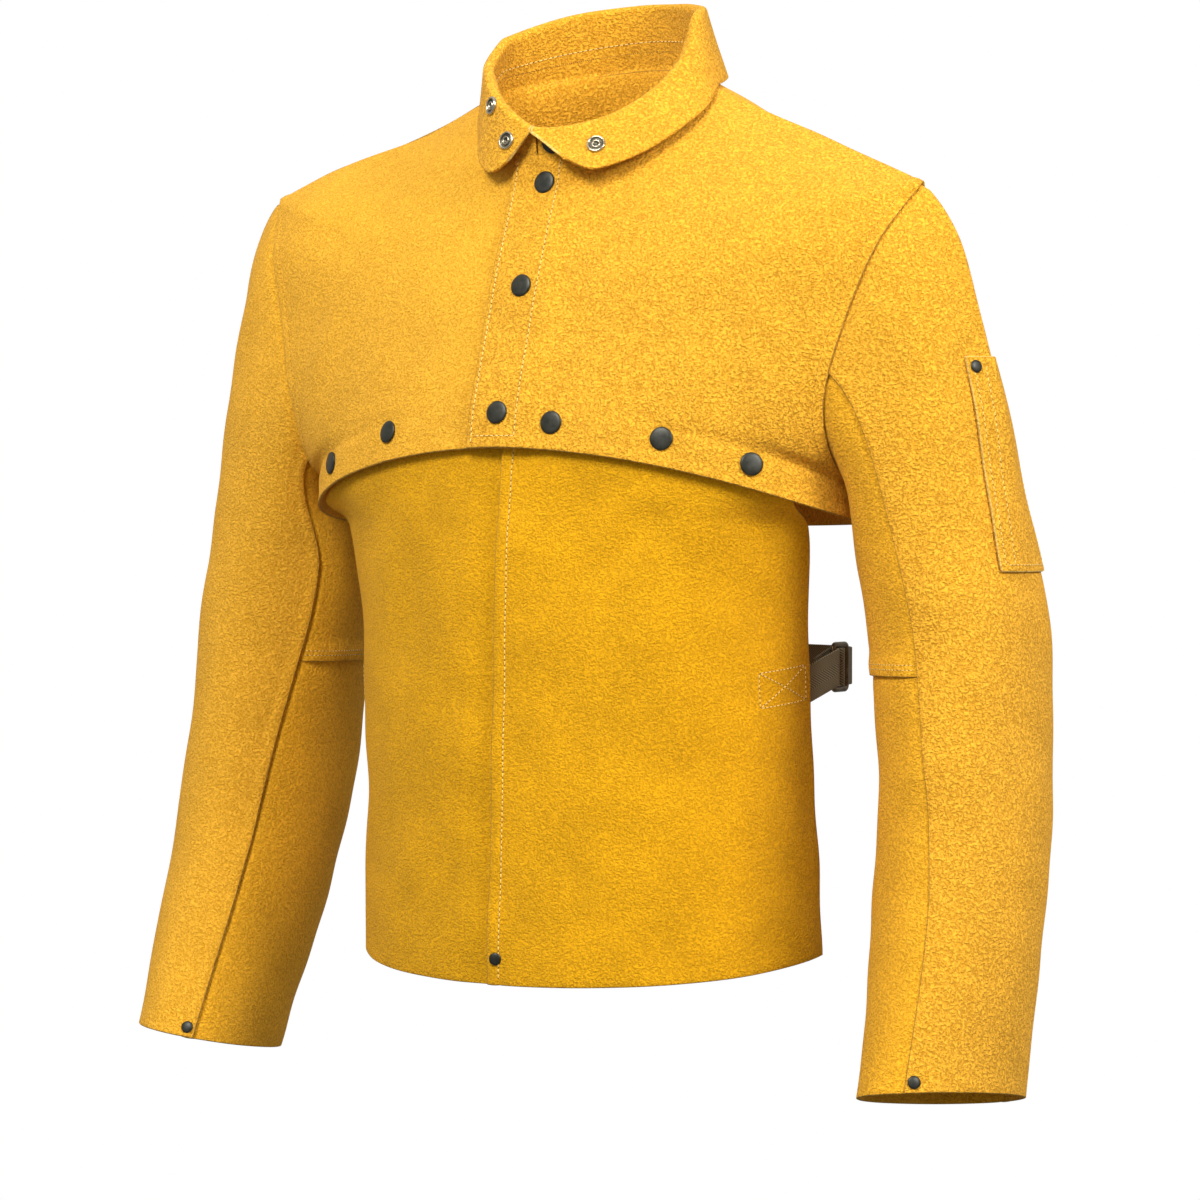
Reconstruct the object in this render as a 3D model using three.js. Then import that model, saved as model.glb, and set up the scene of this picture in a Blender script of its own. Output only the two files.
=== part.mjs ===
// Welding cape with a snap-on bib, as it hangs when worn: millimetres, +Z up, front towards -Y.
// +X is the wearer's left. The origin lies midway between the points where the shoulder seams meet
// the collar, level with them.

import * as THREE from "three";

// Leather, gaps and laps
const leather = 1.8;
const collarLeather = 2.4;
const seamGap = 0.5;
const seatGap = 0.3;
const lapGap = 0.8;
const armholeGap = 0.8;
const placketLap = 19.5;
const placketBlend = 22;
const bibLap = 12;
const bibLapBlend = 30;
const bibSeamTop = 9;
const bibSeamFoot = -4;

// Shoulders and neckline
const neckHalf = 85;
const neckFrontDepth = 79;
const neckFrontDrop = 55;
const neckBackDepth = 66;
const neckBackRise = 18;
const shoulderHalf = 268;
const shoulderForward = 19;
const shoulderDrop = 80;
const rightShoulderLift = 11;

// Cape body
const chestDepth = 139;
const backDepth = 132;
const frontDrop = 258;
const backDrop = 312;
const armpitHalf = 213;
const armpitDrop = 288;
const armholeFront = 70;
const armholeBack = 62;
const hemHalf = 212;
const sideDrop = 309;

// Sleeves
const sleeveLength = 610;
const sleeveSpread = 37;
const cuffForward = 60;
const sleeveWide = 58;
const sleeveDeep = 70;

// Collar
const collarStand = 42;
const collarFall = 60;
const rollRadius = 4.6;
const collarEndGap = 1.2;
const collarSeat = 1.4;

// Bib
const bibHalf = 181;
const bibDepth = 139;
const bibDrop = 626;
const bibHemRise = 18;
const bibTopCover = 36;
const bibTopSpread = 1.05;
const bibTopGap = 3.4;

// Pen pocket
const pocketWidth = 62;
const pocketHeight = 143;
const pocketDrop = 119;
const pocketFrontTop = 0.05;
const pocketFrontFoot = 0.077;

// Waist strap and buckle
const strapWidth = 25;
const strapThickness = 1.6;
const strapDrop = 424;
const strapRise = 14;
const strapBackDepth = 108;
const strapAnchor = 0.22;
const strapInset = 1.3;
const strapFold = 20;
const strapTail = 0.14;
const buckleSide = 180;
const bucklePlace = 27;
const buckleLength = 24;
const buckleHeight = 35;
const buckleBar = 4.2;
const buckleThickness = 3.2;
const buckleCorner = 3;
const slideRadius = 1.7;

// Fasteners
const seatSearch = 12;
const capRadius = 7.6;
const capHeight = 2.6;
const socketRadius = 6.6;
const socketHeight = 2.4;
const rivetRadius = 4.4;
const rivetHeight = 1.8;
const fastenerSides = 14;
const rimSides = 16;

// Rows of the cape run from the neckline (0) past the shoulder point and the armpit to the hem (1)
const shoulderRow = 0.3;
const armpitRow = 0.87;

const neckPoint = new THREE.Vector3(neckHalf, 0, 0);
const shoulderPoint = new THREE.Vector3(shoulderHalf, -shoulderForward, -shoulderDrop);
const armpitPoint = new THREE.Vector3(armpitHalf, 0, -armpitDrop);
const hemSidePoint = new THREE.Vector3(hemHalf, 0, -sideDrop);

// Armhole edge from the shoulder (0) to the armpit (1): share of the way in and down, and how far
// the front and back edges stand off the side
const armhole = [
  { at: 0.0, inward: 0.0, down: 0.0, top: 1.0, front: 0.0, back: 0.0 },
  { at: 0.2, inward: 0.31, down: 0.2, top: 0.3, front: 0.65, back: 0.42 },
  { at: 0.42, inward: 0.64, down: 0.455, top: 0.0, front: 0.93, back: 0.88 },
  { at: 0.64, inward: 0.88, down: 0.715, top: 0.0, front: 1.0, back: 1.0 },
  { at: 0.82, inward: 0.93, down: 0.905, top: 0.0, front: 0.72, back: 0.7 },
  { at: 1.0, inward: 1.0, down: 1.0, top: 0.0, front: 0.0, back: 0.0 },
];

// Centre front and centre back, by share of the way down: share of the full depth
const frontLine = [
  { at: 0.0, depth: 0.0 },
  { at: 0.12, depth: 0.09 },
  { at: 0.45, depth: 0.5 },
  { at: 0.86, depth: 0.92 },
  { at: 1.0, depth: 1.0 },
];
const backLine = [
  { at: 0.0, depth: 0.0, down: 0.0 },
  { at: 0.15, depth: 0.3, down: 0.23 },
  { at: 0.3, depth: 0.68, down: 0.38 },
  { at: 0.5, depth: 0.96, down: 0.54 },
  { at: 0.75, depth: 1.0, down: 0.77 },
  { at: 1.0, depth: 1.0, down: 1.0 },
];

// How full each row is drawn across the front: leaving the centre, and arriving at its outer edge
const frontFullness = [
  { at: 0.0, leave: 1.35, arriveX: 0.0, arriveY: 1.6, arriveZ: 1.5 },
  { at: 0.15, leave: 1.15, arriveX: 0.1, arriveY: 1.5, arriveZ: 1.6 },
  { at: 0.3, leave: 0.95, arriveX: 0.25, arriveY: 1.6, arriveZ: 1.5 },
  { at: 0.45, leave: 1.0, arriveX: 0.6, arriveY: 1.3, arriveZ: 0.9 },
  { at: 0.6, leave: 1.15, arriveX: 0.72, arriveY: 1.55, arriveZ: 0.4 },
  { at: 0.74, leave: 1.4, arriveX: 0.35, arriveY: 1.75, arriveZ: 0.5 },
  { at: 0.87, leave: 1.76, arriveX: -0.24, arriveY: 1.8, arriveZ: 0.6 },
  { at: 1.0, leave: 1.8, arriveX: -0.3, arriveY: 1.8, arriveZ: 0.3 },
];
const backFullness = [
  { at: 0.0, leave: 1.35, arriveX: 0.0, arriveY: 1.6, arriveZ: 1.2 },
  { at: 0.15, leave: 1.2, arriveX: 0.1, arriveY: 1.5, arriveZ: 1.0 },
  { at: 0.3, leave: 1.1, arriveX: 0.25, arriveY: 1.4, arriveZ: 0.8 },
  { at: 0.45, leave: 1.1, arriveX: 0.55, arriveY: 1.2, arriveZ: 0.6 },
  { at: 0.62, leave: 1.2, arriveX: 0.6, arriveY: 1.3, arriveZ: 0.4 },
  { at: 0.74, leave: 1.35, arriveX: 0.35, arriveY: 1.5, arriveZ: 0.4 },
  { at: 0.87, leave: 1.5, arriveX: 0.0, arriveY: 1.55, arriveZ: 0.6 },
  { at: 1.0, leave: 1.55, arriveX: 0.0, arriveY: 1.55, arriveZ: 0.6 },
];

// Sleeve sections below the armhole: shares of the sleeve's length, spread, forward reach and girth,
// the turn of the section in degrees, and how much it leans with the cuff
const sleeveSections = [
  { at: 1, down: 0.434, out: 0.24, forward: -0.08, wide: 1.04, deep: 0.96, turn: 0, lean: 0.0 },
  { at: 2, down: 0.639, out: 0.6, forward: -0.05, wide: 0.97, deep: 1.06, turn: 6, lean: 0.1 },
  { at: 3, down: 0.79, out: 0.76, forward: 0.28, wide: 0.96, deep: 1.0, turn: 2, lean: 0.5 },
  { at: 4, down: 1.0, out: 1.0, forward: 1.0, wide: 0.78, deep: 1.04, turn: -9, lean: 1.0 },
];
const cuffLeanOut = 0.143;
const cuffLeanBack = -0.167;
const sleeveEnd = 4;
const crossSeam = 1.52;

// Where the sleeve seams run round the section, in turns from the outer side towards the front
const sleeveSeams = {
  left: [
    { at: 0, front: 0.28, back: 0.72 },
    { at: 1, front: 0.255, back: 0.72 },
    { at: 2, front: 0.255, back: 0.72 },
    { at: 4, front: 0.185, back: 0.74 },
  ],
  right: [
    { at: 0, front: 0.4, back: 0.8 },
    { at: 1, front: 0.41, back: 0.8 },
    { at: 2, front: 0.39, back: 0.8 },
    { at: 4, front: 0.325, back: 0.8 },
  ],
};

// Bib sections under the cape's hem: shares of the bib's drop, half width and depth, how far its
// side edges stand in front of the side in degrees, and how far they rise
const bibSections = [
  { at: 2, down: 0.5, half: 1.08, depth: 0.985, edge: 15, rise: 0.0 },
  { at: 3, down: 0.62, half: 1.01, depth: 0.99, edge: 8, rise: 0.2 },
  { at: 4, down: 0.8, half: 0.99, depth: 0.99, edge: 3, rise: 0.6 },
  { at: 5, down: 1.0, half: 1.0, depth: 1.0, edge: 0, rise: 1.0 },
];
const bibEnd = 5;
const hemRow = 0.995;

// Collar from a front end (0) to the centre back (1): shares of the stand and the fall, how far the
// fall's foot is carried away from the opening as a share of the fall, and lean and turn in degrees
const collarRoll = {
  left: [
    { at: 0.0, stand: 0.36, fall: 0.53, away: 0.74, lean: 6, turn: 158 },
    { at: 0.12, stand: 0.28, fall: 0.62, away: 0.4, lean: 4, turn: 154 },
    { at: 0.26, stand: 0.27, fall: 0.64, away: 0.1, lean: 2, turn: 148 },
    { at: 0.4, stand: 0.54, fall: 0.68, away: 0.0, lean: -8, turn: 158 },
    { at: 0.5, stand: 1.02, fall: 0.83, away: 0.0, lean: -14, turn: 177 },
    { at: 0.75, stand: 1.0, fall: 0.78, away: 0.0, lean: -14, turn: 176 },
    { at: 1.0, stand: 1.0, fall: 0.78, away: 0.0, lean: -8, turn: 172 },
  ],
  right: [
    { at: 0.0, stand: 0.36, fall: 0.52, away: 0.44, lean: 6, turn: 164 },
    { at: 0.12, stand: 0.68, fall: 0.7, away: 0.26, lean: 2, turn: 172 },
    { at: 0.26, stand: 0.9, fall: 0.72, away: 0.08, lean: -8, turn: 184 },
    { at: 0.4, stand: 0.8, fall: 0.62, away: 0.0, lean: -12, turn: 184 },
    { at: 0.5, stand: 0.82, fall: 0.64, away: 0.0, lean: -14, turn: 180 },
    { at: 0.75, stand: 0.96, fall: 0.78, away: 0.0, lean: -14, turn: 176 },
    { at: 1.0, stand: 1.0, fall: 0.78, away: 0.0, lean: -8, turn: 172 },
  ],
};

// Colours: leather, black cap, nickel socket, webbing, dark bronze
const suede = new THREE.Color(0xe0a012);
const capBlack = new THREE.Color(0x3b3a33);
const nickel = new THREE.Color(0xb9b39c);
const webbing = new THREE.Color(0x84744a);
const bronze = new THREE.Color(0x6b5637);

const finishes = {
  leather: { color: suede, roughness: 0.95, metalness: 0 },
  cap: { color: capBlack, roughness: 0.45, metalness: 0.6 },
  socket: { color: nickel, roughness: 0.25, metalness: 1 },
  webbing: { color: webbing, roughness: 0.8, metalness: 0 },
  buckle: { color: bronze, roughness: 0.4, metalness: 0.9 },
};

const cape = new THREE.Group();

function add(name, geometry, finish) {
  const mesh = new THREE.Mesh(geometry, new THREE.MeshStandardMaterial(finishes[finish]));
  mesh.name = name;
  cape.add(mesh);
}

// Reading tables and curves
function read(table, at) {
  let row = 0;
  while (row < table.length - 2 && at > table[row + 1].at) {
    row += 1;
  }
  const values = {};
  const span = table[row + 1].at - table[row].at;
  const share = (at - table[row].at) / span;
  for (const name of Object.keys(table[0])) {
    const slopes = [slope(table, name, row), slope(table, name, row + 1)];
    values[name] = hermite(table[row][name], slopes[0] * span, table[row + 1][name], slopes[1] * span, share);
  }
  return values;
}

function slope(table, name, row) {
  const before = table[Math.max(row - 1, 0)];
  const after = table[Math.min(row + 1, table.length - 1)];
  return (after[name] - before[name]) / (after.at - before.at);
}

function hermite(from, leave, to, arrive, share) {
  const square = share * share;
  const cube = square * share;
  return (2 * cube - 3 * square + 1) * from + (cube - 2 * square + share) * leave
    + (3 * square - 2 * cube) * to + (cube - square) * arrive;
}

function hermitePoint(from, leave, to, arrive, share) {
  return new THREE.Vector3(
    hermite(from.x, leave.x, to.x, arrive.x, share),
    hermite(from.y, leave.y, to.y, arrive.y, share),
    hermite(from.z, leave.z, to.z, arrive.z, share),
  );
}

// A smooth curve through stations 0, 1, 2 and so on, which may be told how to leave the first
function through(stations, at, firstLeave) {
  const end = stations.length - 1;
  const row = Math.min(Math.floor(at), end - 1);
  const span = stations[row + 1].distanceTo(stations[row]);
  const tangent = (station) => {
    if (station === 0 && firstLeave) {
      return firstLeave.clone();
    }
    const before = stations[Math.max(station - 1, 0)];
    const after = stations[Math.min(station + 1, end)];
    const length = before.distanceTo(stations[station]) + stations[station].distanceTo(after);
    return after.clone().sub(before).divideScalar(length);
  };
  const leave = tangent(row).multiplyScalar(span);
  const arrive = tangent(row + 1).multiplyScalar(span);
  return hermitePoint(stations[row], leave, stations[row + 1], arrive, at - row);
}

function mix(from, to, share) {
  return from + (to - from) * share;
}

function ease(from, to, value) {
  return THREE.MathUtils.smoothstep(value, from, to);
}

function steps(from, to, count) {
  return Array.from({ length: count + 1 }, (_, index) => mix(from, to, index / count));
}

// Closed walls: an outer grid of points, an inner grid one wall inside it, and rims between them
function gridNormals(grid, sense) {
  return grid.map((row, r) => row.map((point, c) => {
    const across = row[Math.min(c + 1, row.length - 1)].clone().sub(row[Math.max(c - 1, 0)]);
    const down = grid[Math.min(r + 1, grid.length - 1)][c].clone().sub(grid[Math.max(r - 1, 0)][c]);
    return across.cross(down).normalize().multiplyScalar(sense);
  }));
}

// Points and normals of a surface at given rows, each with its own columns
function sample(surface, rows, columnsAt, sense) {
  const step = 0.004;
  const points = rows.map((row) => columnsAt(row).map((column) => surface(row, column)));
  const normals = rows.map((row) => columnsAt(row).map((column) => {
    const across = surface(row, column + step).sub(surface(row, column - step));
    const down = surface(row + step, column).sub(surface(Math.max(row - step, 0), column));
    return across.cross(down).normalize().multiplyScalar(sense);
  }));
  return { points, normals };
}

function offsetGrid(grid, normals, distance) {
  return grid.map((row, r) => row.map((point, c) => {
    const length = typeof distance === "function" ? distance(point, r, c) : distance;
    return point.clone().addScaledVector(normals[r][c], length);
  }));
}

function wall(outer, inner) {
  const rows = outer.length;
  const columns = outer[0].length;
  const positions = [...outer.flat(), ...inner.flat()].flatMap((point) => point.toArray());
  const index = [];
  const quad = (a, b, c, d) => index.push(a, b, c, a, c, d);
  const out = (r, c) => r * columns + c;
  const back = (r, c) => rows * columns + r * columns + c;
  for (let r = 0; r < rows - 1; r += 1) {
    for (let c = 0; c < columns - 1; c += 1) {
      quad(out(r, c), out(r, c + 1), out(r + 1, c + 1), out(r + 1, c));
      quad(back(r, c), back(r + 1, c), back(r + 1, c + 1), back(r, c + 1));
    }
    quad(out(r, 0), out(r + 1, 0), back(r + 1, 0), back(r, 0));
    quad(out(r, columns - 1), back(r, columns - 1), back(r + 1, columns - 1), out(r + 1, columns - 1));
  }
  for (let c = 0; c < columns - 1; c += 1) {
    quad(out(0, c), back(0, c), back(0, c + 1), out(0, c + 1));
    quad(out(rows - 1, c), out(rows - 1, c + 1), back(rows - 1, c + 1), back(rows - 1, c));
  }
  return facingOut(positions, index);
}

function facingOut(positions, index) {
  const corner = (i) => new THREE.Vector3().fromArray(positions, index[i] * 3);
  let volume = 0;
  for (let i = 0; i < index.length; i += 3) {
    volume += corner(i).dot(corner(i + 1).cross(corner(i + 2)));
  }
  const geometry = new THREE.BufferGeometry();
  geometry.setAttribute("position", new THREE.Float32BufferAttribute(positions, 3));
  geometry.setIndex(volume > 0 ? index : index.reverse());
  return geometry;
}

// The right side mirrors the left, with its shoulder worn a little higher
function mirrored(point) {
  const outer = ease(0.5 * shoulderHalf, 0.9 * shoulderHalf, point.x);
  const upper = ease(-armpitDrop, -shoulderDrop, point.z);
  return new THREE.Vector3(-point.x, point.y, point.z + rightShoulderLift * outer * upper);
}

function mirroredGrid(grid) {
  return grid.map((row) => row.map(mirrored));
}

// The cape's body: rows from the centre line to the shoulder seam, the armhole or the side seam
function capeEdge(row, back) {
  if (row <= shoulderRow) {
    return neckPoint.clone().lerp(shoulderPoint, row / shoulderRow);
  }
  if (row >= armpitRow) {
    return armpitPoint.clone().lerp(hemSidePoint, (row - armpitRow) / (1 - armpitRow));
  }
  return armholeEdge((row - shoulderRow) / (armpitRow - shoulderRow), back);
}

function armholeEdge(at, back) {
  const edge = read(armhole, at);
  const stand = back ? edge.back * armholeBack : -edge.front * armholeFront;
  return new THREE.Vector3(
    mix(shoulderHalf, armpitHalf, edge.inward),
    stand - shoulderForward * edge.top,
    -mix(shoulderDrop, armpitDrop, edge.down),
  );
}

function capeCentre(row, back) {
  if (back) {
    const line = read(backLine, row);
    const depth = mix(neckBackDepth, backDepth, line.depth);
    return new THREE.Vector3(0, depth, mix(neckBackRise, -backDrop, line.down));
  }
  const depth = mix(neckFrontDepth, chestDepth, read(frontLine, row).depth);
  return new THREE.Vector3(0, -depth, -mix(neckFrontDrop, frontDrop, row));
}

// A point of the cape at a share of the way out from the centre line; a negative share lies on the
// other side of it
function capePoint(row, share, back) {
  const centre = capeCentre(row, back);
  const edge = capeEdge(row, back);
  const fullness = read(back ? backFullness : frontFullness, row);
  const span = edge.clone().sub(centre);
  const leave = new THREE.Vector3(fullness.leave * span.x, 0, 0);
  const arrive = new THREE.Vector3(fullness.arriveX, fullness.arriveY, fullness.arriveZ).multiply(span);
  const point = hermitePoint(centre, leave, edge, arrive, Math.abs(share));
  return share < 0 ? mirrored(point) : point;
}

// The share at which a row of the front stands a given distance from the centre line
function shareAt(row, distance) {
  let low = -0.3;
  let high = 1;
  for (let turn = 0; turn < 30; turn += 1) {
    const middle = (low + high) / 2;
    if (capePoint(row, middle, false).x < distance) {
      low = middle;
    } else {
      high = middle;
    }
  }
  return low;
}

const capeRows = [
  ...steps(0, shoulderRow, 4),
  ...steps(shoulderRow, armpitRow, 10).slice(1),
  ...steps(armpitRow, 1, 2).slice(1),
];

// Along the shoulder and side seams the front and back share one normal, so their walls butt
function isSeamRow(row) {
  return row <= shoulderRow || row >= armpitRow;
}

function seamAcross(row) {
  const near = 0.97;
  return capePoint(row, near, true).sub(capePoint(row, near, false)).normalize();
}

function seamNormal(row) {
  const step = 0.01;
  const from = isSeamRow(row - step) ? row - step : row;
  const to = isSeamRow(row + step) ? row + step : row;
  return capeEdge(to, false).sub(capeEdge(from, false)).cross(seamAcross(row)).normalize();
}

function capeBorder(row, back) {
  const away = back ? 1 : -1;
  if (isSeamRow(row)) {
    return capeEdge(row, back).addScaledVector(seamAcross(row), away * seamGap / 2);
  }
  return capePoint(row, 1 - seamGap / 2 / capeEdge(row, back).x, back);
}

function capeNormals(grid, sense) {
  const normals = gridNormals(grid, sense);
  capeRows.forEach((row, index) => {
    if (isSeamRow(row)) {
      normals[index][grid[index].length - 1] = seamNormal(row);
    }
  });
  return normals;
}

// Both fronts reach past the centre line, where the left one lies over the right one
function frontGrid(columns) {
  return capeRows.map((row) => {
    const lap = [-placketLap, 0, placketLap].map((distance) => shareAt(row, distance));
    const blend = shareAt(row, placketLap + placketBlend);
    const shares = [...lap, ...steps(blend, 1, columns - 3).slice(0, -1)];
    return [...shares.map((share) => capePoint(row, share, false)), capeBorder(row, false)];
  });
}

function overlapLift(point) {
  return (leather + lapGap) * (1 - ease(placketLap, placketLap + placketBlend, point.x));
}

function addFronts() {
  const grid = frontGrid(12);
  const normals = capeNormals(grid, -1);
  const outer = offsetGrid(grid, normals, (point) => overlapLift(point));
  const inner = offsetGrid(grid, normals, (point) => overlapLift(point) - leather);
  add("front_left", wall(outer, inner), "leather");
  const under = offsetGrid(grid, normals, -leather);
  add("front_right", wall(mirroredGrid(grid), mirroredGrid(under)), "leather");
}

// The back is one panel: its right half mirrors the left
function addBack() {
  const shares = steps(0, 1, 9).slice(0, -1);
  const half = capeRows.map((row) => (
    [...shares.map((share) => capePoint(row, share, true)), capeBorder(row, true)]
  ));
  const inner = offsetGrid(half, capeNormals(half, 1), -leather);
  const whole = (grid) => grid.map((row) => [...row.slice(1).reverse().map(mirrored), ...row]);
  add("back", wall(whole(half), whole(inner)), "leather");
}

// Sleeves: curves run from the armhole through the sections to the cuff. Around is in turns from
// the outer side, over the front, the inner side and the back
function sleeveSection(section, around) {
  const angle = around * 2 * Math.PI;
  const turn = THREE.MathUtils.degToRad(section.turn);
  const wide = sleeveWide * section.wide * Math.cos(angle);
  const deep = -sleeveDeep * section.deep * Math.sin(angle);
  const x = wide * Math.cos(turn) - deep * Math.sin(turn);
  const y = wide * Math.sin(turn) + deep * Math.cos(turn);
  const lean = section.lean * (cuffLeanOut * x + cuffLeanBack * y);
  return new THREE.Vector3(
    shoulderHalf + sleeveSpread * section.out + x,
    -cuffForward * section.forward + y,
    -shoulderDrop - sleeveLength * section.down + lean,
  );
}

function armholePoint(around) {
  const folded = around - Math.floor(around);
  return folded <= 0.5 ? armholeEdge(2 * folded, false) : armholeEdge(2 - 2 * folded, true);
}

// The way the sleeve leaves the armhole: along the shoulder at the top, down and out at the armpit
function sleeveLeave(around) {
  const low = (1 - Math.cos(around * 2 * Math.PI)) / 2;
  const direction = new THREE.Vector3(mix(0.8, 0.66, low), 0, mix(-0.6, -0.75, low));
  return direction.multiplyScalar(mix(0.62, 0.9, low));
}

function sleevePoint(at, around) {
  const leave = sleeveLeave(around);
  const start = armholePoint(around).addScaledVector(leave.clone().normalize(), armholeGap);
  const stations = [start, ...sleeveSections.map((section) => sleeveSection(section, around))];
  return through(stations, at, leave);
}

const aroundGap = seamGap / (2 * Math.PI * sleeveDeep) / 2;

function outerSleeveEdges(seams) {
  return [seams.back - 1 + aroundGap, seams.front - aroundGap];
}

function innerSleeveEdges(seams) {
  return [seams.front + aroundGap, seams.back - aroundGap];
}

function addSleevePanel(side, name, stations, columns, edges) {
  const { points, normals } = sample(sleevePoint, stations, (at) => {
    const [from, to] = edges(read(sleeveSeams[side], at));
    return steps(from, to, columns);
  }, 1);
  const inner = offsetGrid(points, normals, -leather);
  const place = side === "left" ? (grid) => grid : mirroredGrid;
  add(`${side}_${name}`, wall(place(points), place(inner)), "leather");
}

function addSleeves() {
  const seamStep = seamGap / sleeveLength * sleeveEnd;
  const whole = [...steps(0, 1, 7), ...steps(1, sleeveEnd, 11).slice(1)];
  const upper = [...steps(0, 1, 5), ...steps(1, crossSeam - seamStep, 2).slice(1)];
  const lower = steps(crossSeam, sleeveEnd, 10);
  for (const side of ["left", "right"]) {
    addSleevePanel(side, "sleeve_outer", whole, 12, outerSleeveEdges);
    addSleevePanel(side, "sleeve_inner_upper", upper, 8, innerSleeveEdges);
    addSleevePanel(side, "sleeve_inner_lower", lower, 8, innerSleeveEdges);
  }
}

// Collar: one band whose stand rises from the neckline, rolls over and falls outside
function neckline(around) {
  const share = Math.abs(around);
  const point = share <= 0.5
    ? capePoint(0, Math.max(2 * share, collarEndGap / neckHalf), false)
    : capePoint(0, 2 - 2 * share, true);
  return around < 0 ? mirrored(point) : point;
}

function collarSection(around) {
  const side = Math.sign(around);
  const start = neckline(around);
  const along = neckline(around + 0.01 * side).sub(start).normalize();
  const up = new THREE.Vector3(0, 0, 1);
  const outward = along.clone().cross(up).multiplyScalar(side).normalize();
  const roll = read(collarRoll[side > 0 ? "left" : "right"], Math.abs(around));
  const runs = [
    { length: roll.stand * collarStand, parts: 2, turn: 0, away: 0 },
    { length: rollRadius * THREE.MathUtils.degToRad(roll.turn), parts: 4, turn: roll.turn, away: 0 },
    { length: roll.fall * collarFall, parts: 2, turn: 0, away: roll.away * collarFall },
  ];
  const point = start.addScaledVector(up, collarSeat);
  const points = [point.clone()];
  let turned = 0;
  for (const run of runs) {
    for (let part = 0; part < run.parts; part += 1) {
      turned += run.turn / run.parts / 2;
      const angle = THREE.MathUtils.degToRad(roll.lean + turned);
      point.addScaledVector(up, Math.cos(angle) * run.length / run.parts);
      point.addScaledVector(outward, Math.sin(angle) * run.length / run.parts);
      point.addScaledVector(along, run.away / run.parts);
      points.push(point.clone());
      turned += run.turn / run.parts / 2;
    }
  }
  return points;
}

function addCollar() {
  const ends = 0.001;
  const right = steps(-ends, -1 + ends, 12);
  const left = steps(1 - ends, ends, 12);
  const grid = [...right, ...left].map((around) => collarSection(around));
  const inner = offsetGrid(grid, gridNormals(grid, 1), collarLeather);
  add("collar", wall(grid, inner), "leather");
}

// Bib: its top follows the inside of the cape, then it runs through its own sections to the hem
function bibTop(row, across) {
  const step = 0.004;
  const share = shareAt(row, bibTopSpread * bibSection(bibSections[0], Math.abs(across)).x);
  const point = capePoint(row, share, false);
  const over = capePoint(row, share + step, false).sub(point);
  const down = capePoint(row + step, share, false).sub(point);
  const normal = over.cross(down).normalize();
  point.addScaledVector(normal, leather + bibTopGap);
  return across < 0 ? mirrored(point) : point;
}

function bibSection(section, across) {
  const reach = 90 - section.edge;
  const angle = THREE.MathUtils.degToRad(reach * across);
  const rise = bibHemRise * section.rise * across * across;
  return new THREE.Vector3(
    bibHalf * section.half * Math.sin(angle),
    -bibDepth * section.depth * Math.cos(angle),
    -bibDrop * section.down + rise,
  );
}

function bibPoint(at, across) {
  const coverRow = 1 - bibTopCover / (frontDrop - neckFrontDrop);
  if (at < 1) {
    return bibTop(mix(coverRow, hemRow, at), across);
  }
  const stations = [bibTop(coverRow, across), bibTop(hemRow, across)];
  stations.push(...bibSections.map((section) => bibSection(section, across)));
  return through(stations, at);
}

// The left panel laps over the right one along a seam that drifts towards the wearer's right
function bibSeam(at) {
  return mix(bibSeamTop, bibSeamFoot, at / bibEnd) / (bibHalf * Math.PI / 2);
}

function addBib() {
  const rows = [...steps(0, 1, 3), ...steps(1, bibEnd, 12).slice(1)];
  const lap = bibLap / (bibHalf * Math.PI / 2);
  const blend = bibLapBlend / (bibHalf * Math.PI / 2);
  const left = sample(bibPoint, rows, (at) => {
    const seam = bibSeam(at);
    return [seam, seam + lap, ...steps(seam + 3 * lap, 1, 8)];
  }, 1);
  add("bib_left", wall(left.points, offsetGrid(left.points, left.normals, leather)), "leather");
  const right = sample(bibPoint, rows, (at) => {
    const seam = bibSeam(at);
    return [...steps(-1, seam - blend, 7), seam - blend / 2, seam, seam + lap];
  }, 1);
  const tucks = [...Array(8).fill(0), 0.5, 1, 1].map((share) => share * (leather + lapGap));
  const outer = offsetGrid(right.points, right.normals, (point, r, c) => tucks[c]);
  const inner = offsetGrid(right.points, right.normals, (point, r, c) => tucks[c] + leather);
  add("bib_right", wall(outer, inner), "leather");
}

// Pen pocket: a patch on the outer back of the left sleeve
function sleeveAtDrop(drop, around) {
  let low = 0;
  let high = sleeveEnd;
  for (let turn = 0; turn < 30; turn += 1) {
    const middle = (low + high) / 2;
    if (sleevePoint(middle, around).z > -shoulderDrop - drop) {
      low = middle;
    } else {
      high = middle;
    }
  }
  return low;
}

function addPocket() {
  const girth = Math.PI * (sleeveWide + sleeveDeep);
  const surface = (share, across) => {
    const around = mix(pocketFrontTop, pocketFrontFoot, share) - across * pocketWidth / girth;
    return sleevePoint(sleeveAtDrop(pocketDrop + pocketHeight * share, around), around);
  };
  const { points, normals } = sample(surface, steps(0, 1, 7), () => steps(1, 0, 5), -1);
  const outer = offsetGrid(points, normals, lapGap + leather);
  add("pen_pocket", wall(outer, offsetGrid(points, normals, lapGap)), "leather");
}

// Fasteners: turned shapes whose flat foot sits a small gap above the leather
const capProfile = [[0, 0], [1, 0], [1, 0.45], [0.72, 0.88], [0, 1]];
const socketProfile = [[0, 0], [1, 0], [1, 0.7], [0.8, 1], [0.55, 0.8], [0.5, 0.35], [0, 0.35]];

function turned(profile, radius, height) {
  const outline = profile.map(([out, up]) => new THREE.Vector2(out * radius, up * height));
  return new THREE.LatheGeometry(outline, fastenerSides);
}

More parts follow.
